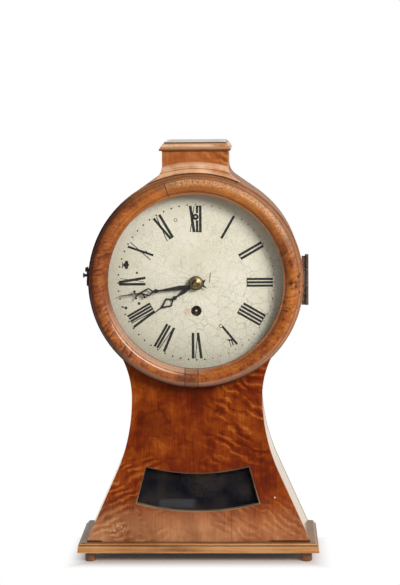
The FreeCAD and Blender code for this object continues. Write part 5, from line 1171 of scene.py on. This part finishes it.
iron, place = new_finish("rusted_iron", {"Metallic": 0.5})
scale = noise(place, IRON_SCALE, 5, 0.68)
pits = noise(place, IRON_PITS, 3, 0.6)
feed(iron, {
    "Base Color": tones(scale, (0.36, 0.55, 0.72), IRON_TONES),
    "Roughness": 0.5 + scale * 0.25,
    "Normal": relief(scale * 0.6 + pits * 0.4, 0.35, IRON_DEPTH)})
dress(iron, "hinge_fixed_leaf", "hinge_moving_leaf", "hinge_pin")

drum_heads = [slotted_head(DRUM_SCREW_PLACE, raised, DRUM_LEAF_RADIUS)
              for raised in (-DRUM_SCREW_RISE, DRUM_SCREW_RISE)]
fix(join_as("hinge_drum_screws", drum_heads), iron, "case")
rim_heads = [slotted_head(RIM_SCREW_PLACE, raised, RIM_LEAF_RADIUS)
             for raised in (-RIM_SCREW_RISE, RIM_SCREW_RISE)]
fix(join_as("hinge_rim_screws", rim_heads), iron, "bezel")

# Hook: a small forged iron hook, held by a screw on the drum's left side. It drops over a catch pin
# that is driven into the bezel's rim.
dress(iron, "latch_hook", "latch_screw", "latch_catch")

# Floor: a plain pale sheet that keeps the soft shadow by the feet and goes to white around the clock.
# Seen in the varnish, it is a warmer white.
FLOOR_SIZE = 5
FLOOR_MIDDLE = (0, 2.05, 0)
SHEET_PALE = (0.82, 0.77, 0.72, 1)
WHITE = (1, 1, 1)
WARM_WHITE = (1, 0.93, 0.80)
SHADOW_SIDE = mm(150)
SHADOW_FRONT = mm(62)
SHADOW_EDGE = mm(-18, 18)


def sight_in(tree):
    """Whether a place is seen by the camera, in a reflection, or at all, glass included."""
    direct, mirrored, through = [Shade(tree).node("ShaderNodeLightPath", {}, {}, ray) for ray in
                                 ("Is Camera Ray", "Is Glossy Ray", "Is Transmission Ray")]
    return direct, mirrored, larger(direct, larger(mirrored, through))


deselect()
bpy.ops.mesh.primitive_plane_add(size=FLOOR_SIZE, location=FLOOR_MIDDLE)
bpy.ops.object.transform_apply(location=True, rotation=True, scale=True)
floor = bpy.context.object
floor.name = "floor"
paper, place = new_finish("floor_paper", {"Base Color": SHEET_PALE, "Roughness": 0.9,
                                          "Specular IOR Level": 0.1})
tree = paper.node_tree
mirrored, seen = sight_in(tree)[1:]
white = place.node("ShaderNodeEmission", {}, {"Color": blend(mirrored, WHITE, WARM_WHITE), "Strength": 1})
lit = Shade(tree, tree.nodes["Principled BSDF"].outputs[0])
beyond = larger(abs(axis(place, "X")) - SHADOW_SIDE, abs(axis(place, "Y")) - SHADOW_FRONT)
share = (0.02 + rise(beyond, *SHADOW_EDGE) * 0.98) * seen
mixed = place.node("ShaderNodeMixShader", {}, {0: share, 1: lit, 2: white})
tree.links.new(mixed.socket, tree.nodes["Material Output"].inputs["Surface"])
floor.data.materials.append(paper)

# Light: one large soft lamp from the upper right, a weak one from the left, and an even pale room.
# The room is white where the camera looks and dimmer behind the camera, as in a studio.
KEY_PLACE = (1.12, -1.6, 1.18)
KEY_AIM = (0, 0, 0.3)
KEY_SIZE = 0.85
KEY_POWER = 44
FILL_PLACE = (-1.5, -1.6, 0.9)
FILL_AIM = (0, 0, 0.25)
FILL_SIZE = 1.4
FILL_POWER = 2
BRIGHT_HEADING = (0.6, 0.8, 0.3)
BRIGHT_EDGE = (-0.1, 0.75)
ROOM_LIGHT = 0.3


def soft_lamp(name, at, towards, size, power):
    lamp = bpy.data.lights.new(name, "AREA")
    lamp.shape = "DISK"
    lamp.size = size
    lamp.energy = power
    holder = bpy.data.objects.new(name, lamp)
    bpy.context.scene.collection.objects.link(holder)
    holder.location = at
    aim = holder.location.copy()
    aim.x, aim.y, aim.z = [goal - start for goal, start in zip(towards, at)]
    holder.rotation_euler = aim.to_track_quat("-Z", "Y").to_euler()


soft_lamp("key_lamp", KEY_PLACE, KEY_AIM, KEY_SIZE, KEY_POWER)
soft_lamp("fill_lamp", FILL_PLACE, FILL_AIM, FILL_SIZE, FILL_POWER)

room = bpy.data.worlds.new("pale_room")
bpy.context.scene.world = room
room.use_nodes = True
tree = room.node_tree
direct, mirrored, seen = sight_in(tree)
heading = Shade(tree).node("ShaderNodeTexCoord", {}, {}, "Generated")
bright_side = 0
for letter, weight in zip("XYZ", BRIGHT_HEADING):
    bright_side = bright_side + axis(heading, letter) * weight
studio = 0.02 + rise(bright_side, *BRIGHT_EDGE) * 0.98
strength = (1 - seen) * ROOM_LIGHT + direct + (seen - direct) * studio
room_light = Shade(tree).node("ShaderNodeBackground", {}, {"Color": blend(mirrored, WHITE, WARM_WHITE),
                                                           "Strength": strength})
tree.links.new(room_light.socket, tree.nodes["World Output"].inputs["Surface"])

# Camera: a little above the dial and to the right of the middle, looking slightly down.
# A long lens from two metres off keeps the upright lines nearly straight.
LENS_LENGTH = 110
SENSOR_WIDTH = 36
CAMERA_PLACE = (0.0768, -2.2131, 0.5916)
CAMERA_DOWN = math.radians(6.70)
CAMERA_LEFT = math.radians(1.9)
CAMERA_ROLL = math.radians(-0.49)
lens = bpy.data.cameras.new("camera")
lens.lens = LENS_LENGTH
lens.sensor_width = SENSOR_WIDTH
camera = bpy.data.objects.new("camera", lens)
bpy.context.scene.collection.objects.link(camera)
camera.location = CAMERA_PLACE
camera.rotation_euler = (math.pi / 2 - CAMERA_DOWN, 0, CAMERA_LEFT)
camera.rotation_euler.rotate_axis("Z", CAMERA_ROLL)
bpy.context.scene.camera = camera
bpy.context.scene.view_settings.view_transform = "Standard"
